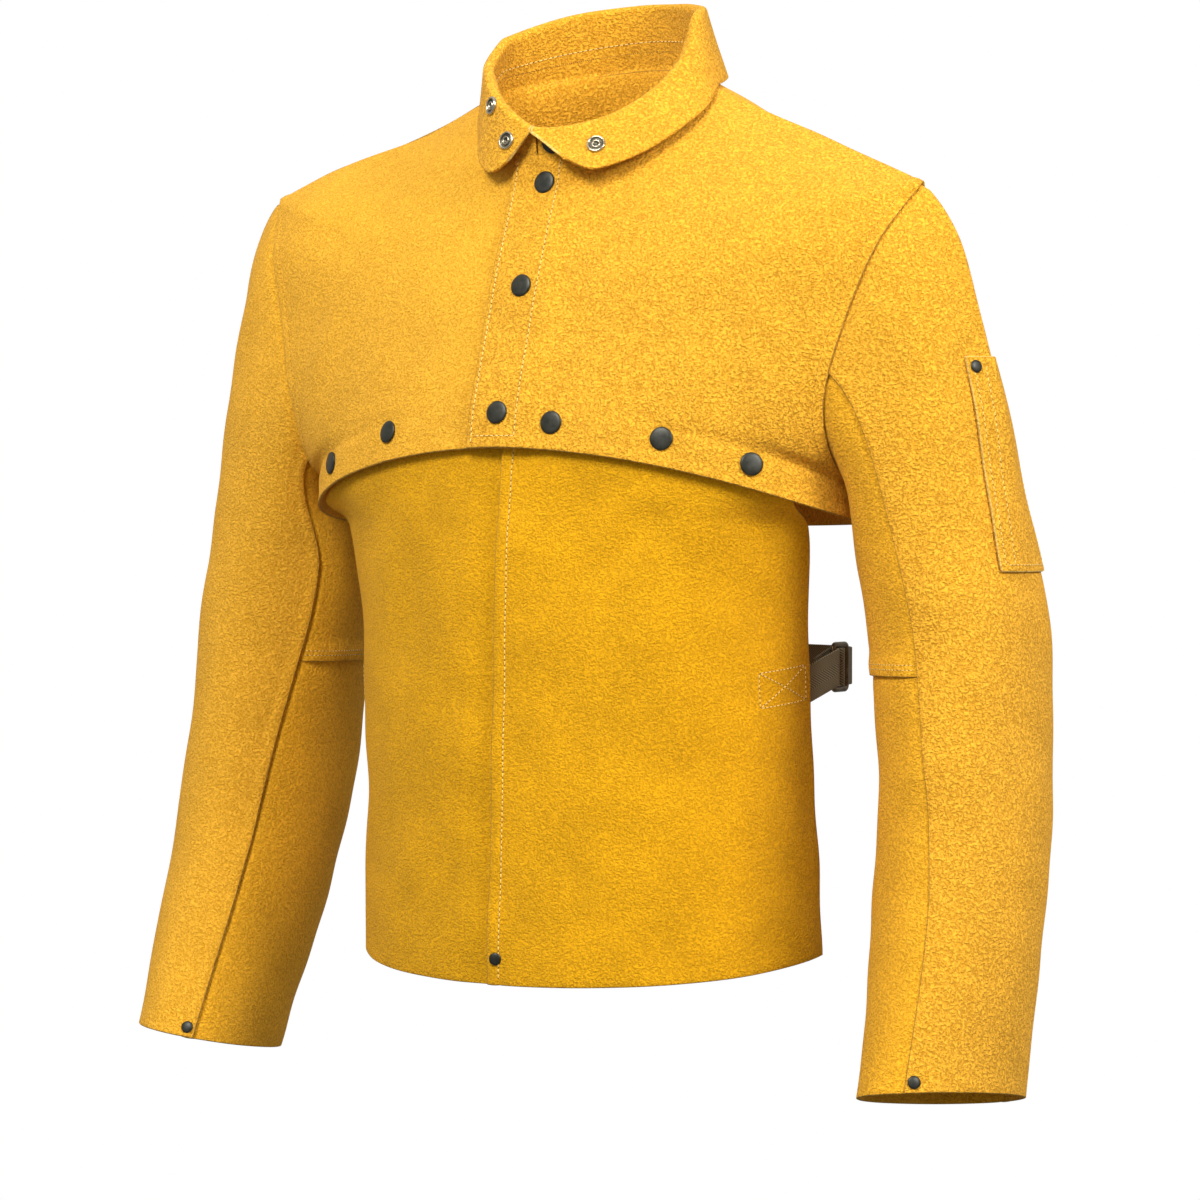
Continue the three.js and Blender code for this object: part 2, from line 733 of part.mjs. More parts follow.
// The foot rests on the highest point of its host's leather under its rim
function seat(name, geometry, surface, place, finish) {
  const { at, along, reach, sense, host } = place;
  const centre = surface(at, along);
  const rim = steps(0, 1, rimSides).slice(1).map((turn) => {
    const angle = turn * 2 * Math.PI;
    return surface(at + reach[0] * Math.sin(angle), along + reach[1] * Math.cos(angle));
  });
  const across = rim[rimSides - 1].clone().sub(rim[rimSides / 2 - 1]);
  const down = rim[rimSides / 4 - 1].clone().sub(rim[3 * rimSides / 4 - 1]);
  const normal = across.cross(down).multiplyScalar(sense).normalize();
  const carrier = cape.getObjectByName(host);
  const heights = [centre, ...rim].flatMap((point) => {
    const above = point.clone().addScaledVector(normal, seatSearch);
    const ray = new THREE.Raycaster(above, normal.clone().negate());
    const nearest = ray.intersectObject(carrier).slice(0, 1);
    return nearest.map((hit) => hit.point.sub(centre).dot(normal));
  });
  geometry.applyQuaternion(new THREE.Quaternion().setFromUnitVectors(new THREE.Vector3(0, 1, 0), normal));
  const foot = centre.clone().addScaledVector(normal, Math.max(...heights) + seatGap);
  geometry.translate(foot.x, foot.y, foot.z);
  add(name, geometry, finish);
}

// Placket snaps by row of the cape and distance out from the centre line; bib snaps by row and
// share of the way out
const placketSnaps = [
  { row: 0.095, out: 7.6 },
  { row: 0.455, out: 6 },
  { row: 0.885, out: 3 },
];
const bibSnaps = [
  { row: 0.92, out: -0.79 },
  { row: 0.9, out: -0.46 },
  { row: 0.91, out: 0.21 },
  { row: 0.91, out: 0.575 },
  { row: 0.92, out: 0.83 },
];

// Collar sockets by place round the collar and share of the way down the fall
const collarSockets = [
  { around: -0.15, down: 0.06 },
  { around: -0.045, down: 0.36 },
  { around: 0.135, down: 0.5 },
];
const collarSnap = { around: 0.05, up: 0.55 };

function capeFront(row, out) {
  const share = shareAt(row, Math.abs(out) * hemHalf);
  const point = capePoint(row, share, false);
  return out < 0 ? mirrored(point) : point;
}

function collarFallPoint(down, around) {
  const points = collarSection(around);
  return points[6].clone().lerp(points[8], down);
}

function collarStandPoint(up, around) {
  const points = collarSection(around);
  return points[0].clone().lerp(points[2], up);
}

function addSnaps() {
  const capeReach = [capRadius / (frontDrop - neckFrontDrop), capRadius / hemHalf];
  const collarGirth = 2 * (neckHalf + (neckFrontDepth + neckBackDepth) / 2);
  const fallReach = [socketRadius / collarFall, socketRadius / collarGirth];
  const standReach = [capRadius / collarStand, capRadius / collarGirth];
  const cap = () => turned(capProfile, capRadius, capHeight);
  placketSnaps.forEach((snap, index) => {
    const place = { at: snap.row, along: snap.out / hemHalf, reach: capeReach, sense: -1, host: "front_left" };
    seat(`placket_snap_${index + 1}`, cap(), capeFront, place, "cap");
  });
  bibSnaps.forEach((snap, index) => {
    const host = snap.out > 0 ? "front_left" : "front_right";
    const place = { at: snap.row, along: snap.out, reach: capeReach, sense: -1, host };
    seat(`bib_snap_${index + 1}`, cap(), capeFront, place, "cap");
  });
  collarSockets.forEach((socket, index) => {
    const place = { at: socket.down, along: socket.around, reach: fallReach, sense: -1, host: "collar" };
    const ring = turned(socketProfile, socketRadius, socketHeight);
    seat(`collar_socket_${index + 1}`, ring, collarFallPoint, place, "socket");
  });
  const { up, around } = collarSnap;
  const place = { at: up, along: around, reach: standReach, sense: 1, host: "collar" };
  seat("collar_snap", cap(), collarStandPoint, place, "cap");
}

// Rivets at the foot of each sleeve's front seam, at the foot of the bib's seam and on the pocket
const cuffRivetAt = 3.95;
const bibRivetAt = 4.86;
const rivetInset = 6.5;
const pocketRivetInset = 5;

function addRivets() {
  const girth = Math.PI * (sleeveWide + sleeveDeep);
  const bibGirth = bibHalf * Math.PI / 2;
  const rivet = () => turned(capProfile, rivetRadius, rivetHeight);
  const sleeveReach = [rivetRadius * sleeveEnd / sleeveLength, rivetRadius / girth];
  for (const side of ["left", "right"]) {
    const along = read(sleeveSeams[side], cuffRivetAt).front - rivetInset / girth;
    const surface = side === "left" ? sleevePoint : (at, turn) => mirrored(sleevePoint(at, turn));
    const sense = side === "left" ? 1 : -1;
    const place = { at: cuffRivetAt, along, reach: sleeveReach, sense, host: `${side}_sleeve_outer` };
    seat(`${side}_cuff_rivet`, rivet(), surface, place, "cap");
  }
  const bibReach = [rivetRadius * bibEnd / bibDrop, rivetRadius / bibGirth];
  const out = bibSeam(bibRivetAt) + rivetInset / bibGirth;
  const foot = { at: bibRivetAt, along: out, reach: bibReach, sense: -1, host: "bib_left" };
  seat("bib_rivet", rivet(), bibPoint, foot, "cap");
  const front = pocketFrontTop - pocketRivetInset / girth;
  const at = sleeveAtDrop(pocketDrop + rivetInset, front);
  const top = { at, along: front, reach: sleeveReach, sense: 1, host: "pen_pocket" };
  seat("pocket_rivet", rivet(), sleevePoint, top, "cap");
}

// Waist strap: webbing ribbons, each drawn as a line of points along the face its normal leaves
function ribbon(path) {
  const up = new THREE.Vector3(0, 0, strapWidth / 2);
  const grid = path.map((point) => [point.clone().add(up), point.clone().sub(up)]);
  return wall(grid, offsetGrid(grid, gridNormals(grid, 1), -strapThickness));
}

// The strap climbs from the bib's edges to the level of the buckle
function strapPoint(x, y) {
  return new THREE.Vector3(x, y, -strapDrop + strapRise * ease(-bibDepth / 6, bucklePlace / 2, y));
}

function bibAtDrop(drop, across) {
  let low = 1;
  let high = bibEnd;
  for (let turn = 0; turn < 30; turn += 1) {
    const middle = (low + high) / 2;
    if (bibPoint(middle, across).z > -drop) {
      low = middle;
    } else {
      high = middle;
    }
  }
  return low;
}

function insideBib(across, inset) {
  const at = bibAtDrop(strapDrop, across);
  const step = 0.004;
  const point = bibPoint(at, across);
  const over = bibPoint(at, across - step).sub(point);
  const down = bibPoint(at + step, across).sub(point);
  const normal = down.cross(over).normalize();
  return strapPoint(point.x + normal.x * inset, point.y + normal.y * inset);
}

// A half turn of the ribbon round an upright bar; sense 1 turns round its rear side
function halfTurn(y, radius, from, sense) {
  return steps(0, 1, 5).map((share) => {
    const angle = share * Math.PI;
    return strapPoint(buckleSide + from * radius * Math.cos(angle), y + sense * radius * Math.sin(angle));
  });
}

function waistArc(from, to, count, half) {
  const start = bucklePlace + buckleLength / 2 + buckleBar;
  return steps(from, to, count).map((turn) => {
    const depth = strapBackDepth - start + half - buckleSide;
    return strapPoint(half * Math.cos(turn * Math.PI), start + depth * Math.sin(turn * Math.PI));
  });
}

function addStraps() {
  const anchors = steps(1 - strapAnchor, 0.99, 4);
  const frontBar = bucklePlace - buckleLength / 2 + buckleBar / 2;
  const barRadius = Math.hypot(buckleBar, buckleThickness) / 2 + seatGap + 0.1 + strapThickness;
  const short = anchors.map((across) => insideBib(across, leather + strapInset));
  short.push(...halfTurn(frontBar, barRadius, 1, 1));
  short.push(strapPoint(buckleSide - barRadius, frontBar - strapFold));
  add("strap_short", ribbon(short), "webbing");

  const inner = buckleSide - buckleThickness / 2 - 2 * seatGap - strapThickness;
  const tail = inner - seatGap - 0.1;
  const turn = slideRadius + seatGap;
  const long = anchors.map((across) => insideBib(-across, leather + strapInset + strapThickness));
  long.push(...waistArc(1, 0, 20, inner));
  long.push(strapPoint(inner, bucklePlace + buckleLength / 2 - buckleBar - seatGap));
  for (const angle of steps(0.2, 1.3, 5)) {
    const x = buckleSide + turn * Math.sin(angle * Math.PI);
    long.push(strapPoint(x, bucklePlace + turn * Math.cos(angle * Math.PI)));
  }
  long.push(strapPoint(tail, bucklePlace + turn));
  long.push(...waistArc(0, strapTail, 3, tail));
  add("strap_long", ribbon(long), "webbing");
}

// Buckle: a flat frame with a loose slide bar across its opening
function roundedOutline(shape, length, height, corner) {
  const y = length / 2 - corner;
  const z = height / 2 - corner;
  shape.absarc(y, z, corner, 0, Math.PI / 2, false);
  shape.absarc(-y, z, corner, Math.PI / 2, Math.PI, false);
  shape.absarc(-y, -z, corner, Math.PI, 1.5 * Math.PI, false);
  shape.absarc(y, -z, corner, 1.5 * Math.PI, 2 * Math.PI, false);
  return shape;
}

function addBuckle() {
  const frame = roundedOutline(new THREE.Shape(), buckleLength, buckleHeight, buckleCorner);
  const openLength = buckleLength - 2 * buckleBar;
  const openHeight = buckleHeight - 2 * buckleBar;
  frame.holes.push(roundedOutline(new THREE.Path(), openLength, openHeight, buckleCorner / 4));
  const plate = new THREE.ExtrudeGeometry(frame, {
    depth: buckleThickness,
    bevelEnabled: false,
    curveSegments: 3,
  });
  const place = strapPoint(buckleSide, bucklePlace);
  plate.translate(0, 0, -buckleThickness / 2);
  plate.applyMatrix4(new THREE.Matrix4().makeBasis(
    new THREE.Vector3(0, 1, 0),
    new THREE.Vector3(0, 0, 1),
    new THREE.Vector3(1, 0, 0),
  ));
  plate.translate(place.x, place.y, place.z);
  add("buckle_frame", plate, "buckle");
  const bar = new THREE.CylinderGeometry(slideRadius, slideRadius, openHeight - 2 * seatGap, 10);
  bar.rotateX(Math.PI / 2);
  bar.translate(place.x, place.y, place.z);
  add("buckle_slide", bar, "buckle");
}

addFronts();
addBack();
addSleeves();
addCollar();
addBib();
addPocket();
addSnaps();
addRivets();
addStraps();
addBuckle();

export default cape;
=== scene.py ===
# Welding cape with a bib held by press studs: the visible leather, thread and metal, built in
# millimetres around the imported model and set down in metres.

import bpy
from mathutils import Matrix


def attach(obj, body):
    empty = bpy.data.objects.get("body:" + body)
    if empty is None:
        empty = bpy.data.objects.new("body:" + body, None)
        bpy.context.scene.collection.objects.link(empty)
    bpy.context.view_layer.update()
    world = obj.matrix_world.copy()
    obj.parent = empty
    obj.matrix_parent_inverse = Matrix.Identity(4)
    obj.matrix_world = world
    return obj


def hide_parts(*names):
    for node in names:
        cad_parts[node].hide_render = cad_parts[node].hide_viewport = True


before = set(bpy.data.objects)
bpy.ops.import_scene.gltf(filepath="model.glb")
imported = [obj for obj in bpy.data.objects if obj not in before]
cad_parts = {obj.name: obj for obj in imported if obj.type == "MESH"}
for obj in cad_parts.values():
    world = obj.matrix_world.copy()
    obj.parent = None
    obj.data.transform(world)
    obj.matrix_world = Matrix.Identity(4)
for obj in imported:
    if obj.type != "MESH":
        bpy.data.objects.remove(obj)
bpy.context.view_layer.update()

import math

import bpy
import numpy as np
from mathutils import Vector
from mathutils.bvhtree import BVHTree

METRE = 0.001
RNG = np.random.default_rng(11)

# Leather, gaps and laps, as in the CAD model
LEATHER = 1.8
COLLAR_LEATHER = 2.4
SEAM_GAP = 0.5
LAP_GAP = 0.8
ARMHOLE_GAP = 0.8
PLACKET_LAP = 19.5
PLACKET_BLEND = 22
BIB_LAP = 12
BIB_LAP_BLEND = 30
BIB_SEAM_TOP = 9
BIB_SEAM_FOOT = -4

NECK_HALF = 85
NECK_FRONT_DEPTH = 79
NECK_FRONT_DROP = 55
NECK_BACK_DEPTH = 66
NECK_BACK_RISE = 18
SHOULDER_HALF = 268
SHOULDER_FORWARD = 19
SHOULDER_DROP = 80
RIGHT_SHOULDER_LIFT = 11

CHEST_DEPTH = 139
BACK_DEPTH = 132
FRONT_DROP = 258
BACK_DROP = 312
ARMPIT_HALF = 213
ARMPIT_DROP = 288
ARMHOLE_FRONT = 70
ARMHOLE_BACK = 62
HEM_HALF = 212
SIDE_DROP = 309

SLEEVE_LENGTH = 610
SLEEVE_SPREAD = 37
CUFF_FORWARD = 60
SLEEVE_WIDE = 58
SLEEVE_DEEP = 70
SLEEVE_GIRTH = math.pi * (SLEEVE_WIDE + SLEEVE_DEEP)

COLLAR_STAND = 42
COLLAR_FALL = 60
ROLL_RADIUS = 4.6
COLLAR_END_GAP = 0.5
COLLAR_SEAT = 1.4

BIB_HALF = 181
BIB_DEPTH = 139
BIB_DROP = 626
BIB_HEM_RISE = 18
BIB_TOP_COVER = 36
BIB_TOP_SPREAD = 1.05
BIB_TOP_GAP = 3.4
BIB_GIRTH = BIB_HALF * math.pi / 2

POCKET_WIDTH = 62
POCKET_HEIGHT = 143
POCKET_DROP = 119
POCKET_FRONT_TOP = 0.05
POCKET_FRONT_FOOT = 0.077

STRAP_WIDTH = 25
STRAP_THICKNESS = 1.6
STRAP_DROP = 424
STRAP_RISE = 14
STRAP_BACK_DEPTH = 108
STRAP_ANCHOR = 0.22
STRAP_INSET = 1.3
STRAP_FOLD = 20
STRAP_TAIL = 0.14
BUCKLE_SIDE = 180
BUCKLE_PLACE = 27
BUCKLE_LENGTH = 24
BUCKLE_HEIGHT = 35
BUCKLE_BAR = 4.2
BUCKLE_THICKNESS = 3.2
SLIDE_RADIUS = 1.7
SEAT_GAP = 0.3

SHOULDER_ROW = 0.3
ARMPIT_ROW = 0.87

NECK = np.array([NECK_HALF, 0.0, 0.0])
SHOULDER = np.array([SHOULDER_HALF, -SHOULDER_FORWARD, -SHOULDER_DROP], float)
ARMPIT = np.array([ARMPIT_HALF, 0.0, -ARMPIT_DROP])
HEM_SIDE = np.array([HEM_HALF, 0.0, -SIDE_DROP])
UP = np.array([0.0, 0.0, 1.0])


def table(columns, *rows):
    return {name: np.array([row[i] for row in rows], float) for i, name in enumerate(columns.split())}


ARMHOLE = table(
    "at inward down top front back",
    (0.0, 0.0, 0.0, 1.0, 0.0, 0.0),
    (0.2, 0.31, 0.2, 0.3, 0.65, 0.42),
    (0.42, 0.64, 0.455, 0.0, 0.93, 0.88),
    (0.64, 0.88, 0.715, 0.0, 1.0, 1.0),
    (0.82, 0.93, 0.905, 0.0, 0.72, 0.7),
    (1.0, 1.0, 1.0, 0.0, 0.0, 0.0),
)
FRONT_LINE = table("at depth", (0.0, 0.0), (0.12, 0.09), (0.45, 0.5), (0.86, 0.92), (1.0, 1.0))
BACK_LINE = table(
    "at depth down",
    (0.0, 0.0, 0.0),
    (0.15, 0.3, 0.23),
    (0.3, 0.68, 0.38),
    (0.5, 0.96, 0.54),
    (0.75, 1.0, 0.77),
    (1.0, 1.0, 1.0),
)
FRONT_FULLNESS = table(
    "at leave x y z",
    (0.0, 1.35, 0.0, 1.6, 1.5),
    (0.15, 1.15, 0.1, 1.5, 1.6),
    (0.3, 0.95, 0.25, 1.6, 1.5),
    (0.45, 1.0, 0.6, 1.3, 0.9),
    (0.6, 1.15, 0.72, 1.55, 0.4),
    (0.74, 1.4, 0.35, 1.75, 0.5),
    (0.87, 1.76, -0.24, 1.8, 0.6),
    (1.0, 1.8, -0.3, 1.8, 0.3),
)
BACK_FULLNESS = table(
    "at leave x y z",
    (0.0, 1.35, 0.0, 1.6, 1.2),
    (0.15, 1.2, 0.1, 1.5, 1.0),
    (0.3, 1.1, 0.25, 1.4, 0.8),
    (0.45, 1.1, 0.55, 1.2, 0.6),
    (0.62, 1.2, 0.6, 1.3, 0.4),
    (0.74, 1.35, 0.35, 1.5, 0.4),
    (0.87, 1.5, 0.0, 1.55, 0.6),
    (1.0, 1.55, 0.0, 1.55, 0.6),
)
SLEEVE_SECTIONS = [
    dict(down=0.434, out=0.24, forward=-0.08, wide=1.04, deep=0.96, turn=0, lean=0.0),
    dict(down=0.639, out=0.6, forward=-0.05, wide=0.97, deep=1.06, turn=6, lean=0.1),
    dict(down=0.79, out=0.76, forward=0.28, wide=0.96, deep=1.0, turn=2, lean=0.5),
    dict(down=1.0, out=1.0, forward=1.0, wide=0.78, deep=1.04, turn=-9, lean=1.0),
]
CUFF_LEAN_OUT = 0.143
CUFF_LEAN_BACK = -0.167
SLEEVE_END = 4
CROSS_SEAM = 1.52
SLEEVE_SEAMS = {
    "left": table("at front back", (0, 0.28, 0.72), (1, 0.255, 0.72), (2, 0.255, 0.72), (4, 0.185, 0.74)),
    "right": table("at front back", (0, 0.4, 0.8), (1, 0.41, 0.8), (2, 0.39, 0.8), (4, 0.325, 0.8)),
}
BIB_SECTIONS = [
    dict(down=0.5, half=1.08, depth=0.985, edge=15, rise=0.0),
    dict(down=0.62, half=1.01, depth=0.99, edge=8, rise=0.2),
    dict(down=0.8, half=0.99, depth=0.99, edge=3, rise=0.6),
    dict(down=1.0, half=1.0, depth=1.0, edge=0, rise=1.0),
]
BIB_END = 5
HEM_ROW = 0.995
COLLAR_LEFT = table(
    "at stand fall away lean turn",
    (0.0, 0.36, 0.53, 0.74, 6, 158),
    (0.12, 0.28, 0.62, 0.4, 4, 154),
    (0.26, 0.27, 0.64, 0.1, 2, 148),
    (0.4, 0.54, 0.68, 0.0, -8, 158),
    (0.5, 1.02, 0.83, 0.0, -14, 177),
    (0.75, 1.0, 0.78, 0.0, -14, 176),
    (1.0, 1.0, 0.78, 0.0, -8, 172),
)
COLLAR_RIGHT = table(
    "at stand fall away lean turn",
    (0.0, 0.36, 0.52, 0.44, 6, 164),
    (0.12, 0.68, 0.7, 0.26, 2, 172),
    (0.26, 0.9, 0.72, 0.08, -8, 184),
    (0.4, 0.8, 0.62, 0.0, -12, 184),
    (0.5, 0.82, 0.64, 0.0, -14, 180),
    (0.75, 0.96, 0.78, 0.0, -14, 176),
    (1.0, 1.0, 0.78, 0.0, -8, 172),
)


# Curves and surfaces of the CAD model, for whole arrays of places at once
def hermite(start, leave, end, arrive, share):
    square = share * share
    cube = square * share
    return ((2 * cube - 3 * square + 1) * start + (cube - 2 * square + share) * leave
            + (3 * square - 2 * cube) * end + (cube - square) * arrive)


def read(rows, at):
    at = np.asarray(at, float)
    keys = rows["at"]
    last = len(keys) - 1
    row = np.searchsorted(keys[1:-1], at, side="left")
    span = keys[row + 1] - keys[row]
    share = (at - keys[row]) / span

    def slope(name, place):
        before = np.maximum(place - 1, 0)
        after = np.minimum(place + 1, last)
        return (rows[name][after] - rows[name][before]) / (keys[after] - keys[before])

    return {
        name: hermite(rows[name][row], slope(name, row) * span,
                      rows[name][row + 1], slope(name, row + 1) * span, share)
        for name in rows if name != "at"
    }


def vec(x, y, z):
    return np.stack(np.broadcast_arrays(x, y, z), -1).astype(float)


def unit(v):
    return v / np.maximum(np.linalg.norm(v, axis=-1, keepdims=True), 1e-9)


def ease(start, end, value):
    share = np.clip((np.asarray(value, float) - start) / (end - start), 0, 1)
    return share * share * (3 - 2 * share)


def mix(start, end, share):
    return start + (end - start) * share


def paired(first, second):
    return np.broadcast_arrays(np.asarray(first, float), np.asarray(second, float))


# The last place between two others at which a test still holds
def last_place(low, high, test):
    for _ in range(26):
        middle = (low + high) / 2
        holds = test(middle)
        low = np.where(holds, middle, low)
        high = np.where(holds, high, middle)
    return low


def through(stations, at, first=None):
    stations = np.stack(np.broadcast_arrays(*stations))
    at = np.broadcast_to(at, stations.shape[1:-1])
    end = len(stations) - 1
    gaps = np.linalg.norm(np.diff(stations, axis=0), axis=-1, keepdims=True)
    tangents = []
    for i in range(end + 1):
        length = (gaps[i - 1] if i > 0 else 0) + (gaps[i] if i < end else 0)
        tangents.append((stations[min(i + 1, end)] - stations[max(i - 1, 0)]) / length)
    if first is not None:
        tangents[0] = np.broadcast_to(first, tangents[0].shape)
    tangents = np.stack(tangents)
    row = np.clip(np.floor(at).astype(int), 0, end - 1)

    def pick(values, place):
        return np.take_along_axis(values, place[None, ..., None], 0)[0]

    span = pick(gaps, row)
    return hermite(pick(stations, row), pick(tangents, row) * span,
                   pick(stations, row + 1), pick(tangents, row + 1) * span, (at - row)[..., None])


def mirrored(point):
    outer = ease(0.5 * SHOULDER_HALF, 0.9 * SHOULDER_HALF, point[..., 0])
    upper = ease(-ARMPIT_DROP, -SHOULDER_DROP, point[..., 2])
    return vec(-point[..., 0], point[..., 1], point[..., 2] + RIGHT_SHOULDER_LIFT * outer * upper)


def armhole_edge(at, back):
    edge = read(ARMHOLE, at)
    stand = edge["back"] * ARMHOLE_BACK if back else -edge["front"] * ARMHOLE_FRONT
    return vec(
        mix(SHOULDER_HALF, ARMPIT_HALF, edge["inward"]),
        stand - SHOULDER_FORWARD * edge["top"],
        -mix(SHOULDER_DROP, ARMPIT_DROP, edge["down"]),
    )


def cape_edge(row, back):
    share = row[..., None]
    upper = NECK + (SHOULDER - NECK) * share / SHOULDER_ROW
    lower = ARMPIT + (HEM_SIDE - ARMPIT) * (share - ARMPIT_ROW) / (1 - ARMPIT_ROW)
    middle = armhole_edge((row - SHOULDER_ROW) / (ARMPIT_ROW - SHOULDER_ROW), back)
    return np.where(share <= SHOULDER_ROW, upper, np.where(share >= ARMPIT_ROW, lower, middle))


def cape_centre(row, back):
    if back:
        line = read(BACK_LINE, row)
        depth = mix(NECK_BACK_DEPTH, BACK_DEPTH, line["depth"])
        return vec(0, depth, mix(NECK_BACK_RISE, -BACK_DROP, line["down"]))
    depth = mix(NECK_FRONT_DEPTH, CHEST_DEPTH, read(FRONT_LINE, row)["depth"])
    return vec(0, -depth, -mix(NECK_FRONT_DROP, FRONT_DROP, row))


def cape_point(row, share, back=False):
    row, share = paired(row, share)
    centre = cape_centre(row, back)
    edge = cape_edge(row, back)
    fullness = read(BACK_FULLNESS if back else FRONT_FULLNESS, row)
    span = edge - centre
    leave = vec(fullness["leave"] * span[..., 0], 0, 0)
    arrive = vec(fullness["x"], fullness["y"], fullness["z"]) * span
    point = hermite(centre, leave, edge, arrive, np.abs(share)[..., None])
    return np.where(share[..., None] < 0, mirrored(point), point)


def share_at(row, distance):
    row, distance = paired(row, distance)
    return last_place(np.full(row.shape, -0.3), np.ones(row.shape),
                      lambda share: cape_point(row, share)[..., 0] < distance)


def overlap_lift(point):
    return (LEATHER + LAP_GAP) * (1 - ease(PLACKET_LAP, PLACKET_LAP + PLACKET_BLEND, point[..., 0]))


def sleeve_section(section, around):
    angle = around * 2 * math.pi
    turn = math.radians(section["turn"])
    wide = SLEEVE_WIDE * section["wide"] * np.cos(angle)
    deep = -SLEEVE_DEEP * section["deep"] * np.sin(angle)
    x = wide * math.cos(turn) - deep * math.sin(turn)
    y = wide * math.sin(turn) + deep * math.cos(turn)
    lean = section["lean"] * (CUFF_LEAN_OUT * x + CUFF_LEAN_BACK * y)
    return vec(
        SHOULDER_HALF + SLEEVE_SPREAD * section["out"] + x,
        -CUFF_FORWARD * section["forward"] + y,
        -SHOULDER_DROP - SLEEVE_LENGTH * section["down"] + lean,
    )


def armhole_point(around):
    folded = around - np.floor(around)
    front = armhole_edge(np.clip(2 * folded, 0, 1), False)
    back = armhole_edge(np.clip(2 - 2 * folded, 0, 1), True)
    return np.where((folded <= 0.5)[..., None], front, back)


def sleeve_leave(around):
    low = (1 - np.cos(around * 2 * math.pi)) / 2
    return vec(mix(0.8, 0.66, low), 0, mix(-0.6, -0.75, low)) * mix(0.62, 0.9, low)[..., None]


def sleeve_point(at, around):
    at, around = paired(at, around)
    leave = sleeve_leave(around)
    start = armhole_point(around) + unit(leave) * ARMHOLE_GAP
    stations = [start] + [sleeve_section(section, around) for section in SLEEVE_SECTIONS]
    return through(stations, at, leave)


def sleeve_at_drop(drop, around):
    drop, around = paired(drop, around)
    return last_place(np.zeros(drop.shape), np.full(drop.shape, float(SLEEVE_END)),
                      lambda at: sleeve_point(at, around)[..., 2] > -SHOULDER_DROP - drop)


def neckline(around):
    share = np.abs(around)
    front = cape_point(0, np.maximum(2 * share, COLLAR_END_GAP / NECK_HALF))
    back = cape_point(0, 2 - 2 * share, True)
    point = np.where((share <= 0.5)[..., None], front, back)
    return np.where((around < 0)[..., None], mirrored(point), point)


# A fine section of the collar at each place round it: stand, roll and fall, as a row of points.
# The foot runs down inside the neck, as far as (drop, inset) says, and fades out at the ends.
COLLAR_PARTS = (16, 16, 22)
COLLAR_CORNER = 15.0
COLLAR_GIRTH = 520.0
COLLAR_FOOT = [(42, 0.8), (28, 2.4), (14, 3.6), (4, 3.2)]


def collar_section(around, foot=False):
    around = np.asarray(around, float)
    side = np.sign(around)
    start = neckline(around)
    along = unit(neckline(around + 0.01 * side) - start)
    outward = unit(np.cross(along, UP) * side[..., None])
    left, right = read(COLLAR_LEFT, np.abs(around)), read(COLLAR_RIGHT, np.abs(around))
    roll = {name: np.where(side > 0, left[name], right[name]) for name in left}
    turn = np.radians(roll["turn"])
    from_end = np.clip(COLLAR_CORNER - np.abs(around) * COLLAR_GIRTH / 2, 0, COLLAR_CORNER)
    cut = COLLAR_CORNER - np.sqrt(COLLAR_CORNER ** 2 - from_end ** 2)
    kept = 1 - cut / (roll["fall"] * COLLAR_FALL)
    straight = 0 * turn
    runs = [
        (roll["stand"] * COLLAR_STAND, COLLAR_PARTS[0], straight, straight),
        (ROLL_RADIUS * turn, COLLAR_PARTS[1], turn, straight),
        (roll["fall"] * COLLAR_FALL * kept, COLLAR_PARTS[2], straight, roll["away"] * COLLAR_FALL * kept),
    ]
    point = start + UP * COLLAR_SEAT
    points = [point]
    if foot:
        reach = ease(-0.01, 0.12, np.abs(around))[..., None]
        points = [start - (UP * drop + outward * inset) * reach for drop, inset in COLLAR_FOOT]
        points += [start + UP - outward * reach, point]
    angle = np.radians(roll["lean"])
    for length, count, bend, away in runs:
        for _ in range(count):
            angle = angle + bend / count / 2
            step = UP * np.cos(angle)[..., None] + outward * np.sin(angle)[..., None]
            point = point + step * (length / count)[..., None] + along * (away / count)[..., None]
            points.append(point)
            angle = angle + bend / count / 2
    return np.stack(points, -2)


def bib_section(section, across):
    angle = np.radians((90 - section["edge"]) * across)
    rise = BIB_HEM_RISE * section["rise"] * across * across
    return vec(
        BIB_HALF * section["half"] * np.sin(angle),
        -BIB_DEPTH * section["depth"] * np.cos(angle),
        -BIB_DROP * section["down"] + rise,
    )


def bib_top(row, across):
    step = 0.004
    reach = BIB_TOP_SPREAD * bib_section(BIB_SECTIONS[0], np.abs(across))[..., 0]
    share = share_at(row, reach)
    point = cape_point(row, share)
    over = cape_point(row, share + step) - point
    down = cape_point(row + step, share) - point
    point = point + unit(np.cross(over, down)) * (LEATHER + BIB_TOP_GAP)
    return np.where((across < 0)[..., None], mirrored(point), point)


def bib_point(at, across):
    at, across = paired(at, across)
    cover = 1 - BIB_TOP_COVER / (FRONT_DROP - NECK_FRONT_DROP)
    upper = bib_top(mix(cover, HEM_ROW, np.clip(at, 0, 1)), across)
    rows = np.ones(at.shape)
    stations = [bib_top(cover * rows, across), bib_top(HEM_ROW * rows, across)]
    stations += [bib_section(section, across) for section in BIB_SECTIONS]
    return np.where((at < 1)[..., None], upper, through(stations, np.maximum(at, 1)))


def bib_seam(at):
    return mix(BIB_SEAM_TOP, BIB_SEAM_FOOT, at / BIB_END) / BIB_GIRTH


def bib_at_drop(drop, across):
    return last_place(1.0, float(BIB_END), lambda at: bib_point(at, across)[..., 2] > -drop)


# Places on a surface and the ways out of it there, from small steps to each side
def seated(surface, at, across, end, sense):
    step = 0.003
    at, across = paired(at, across)
    over = surface(at, across + step) - surface(at, across - step)
    down = surface(np.minimum(at + step, end), across) - surface(np.maximum(at - step, 0), across)
    return surface(at, across), sense * unit(np.cross(over, down))


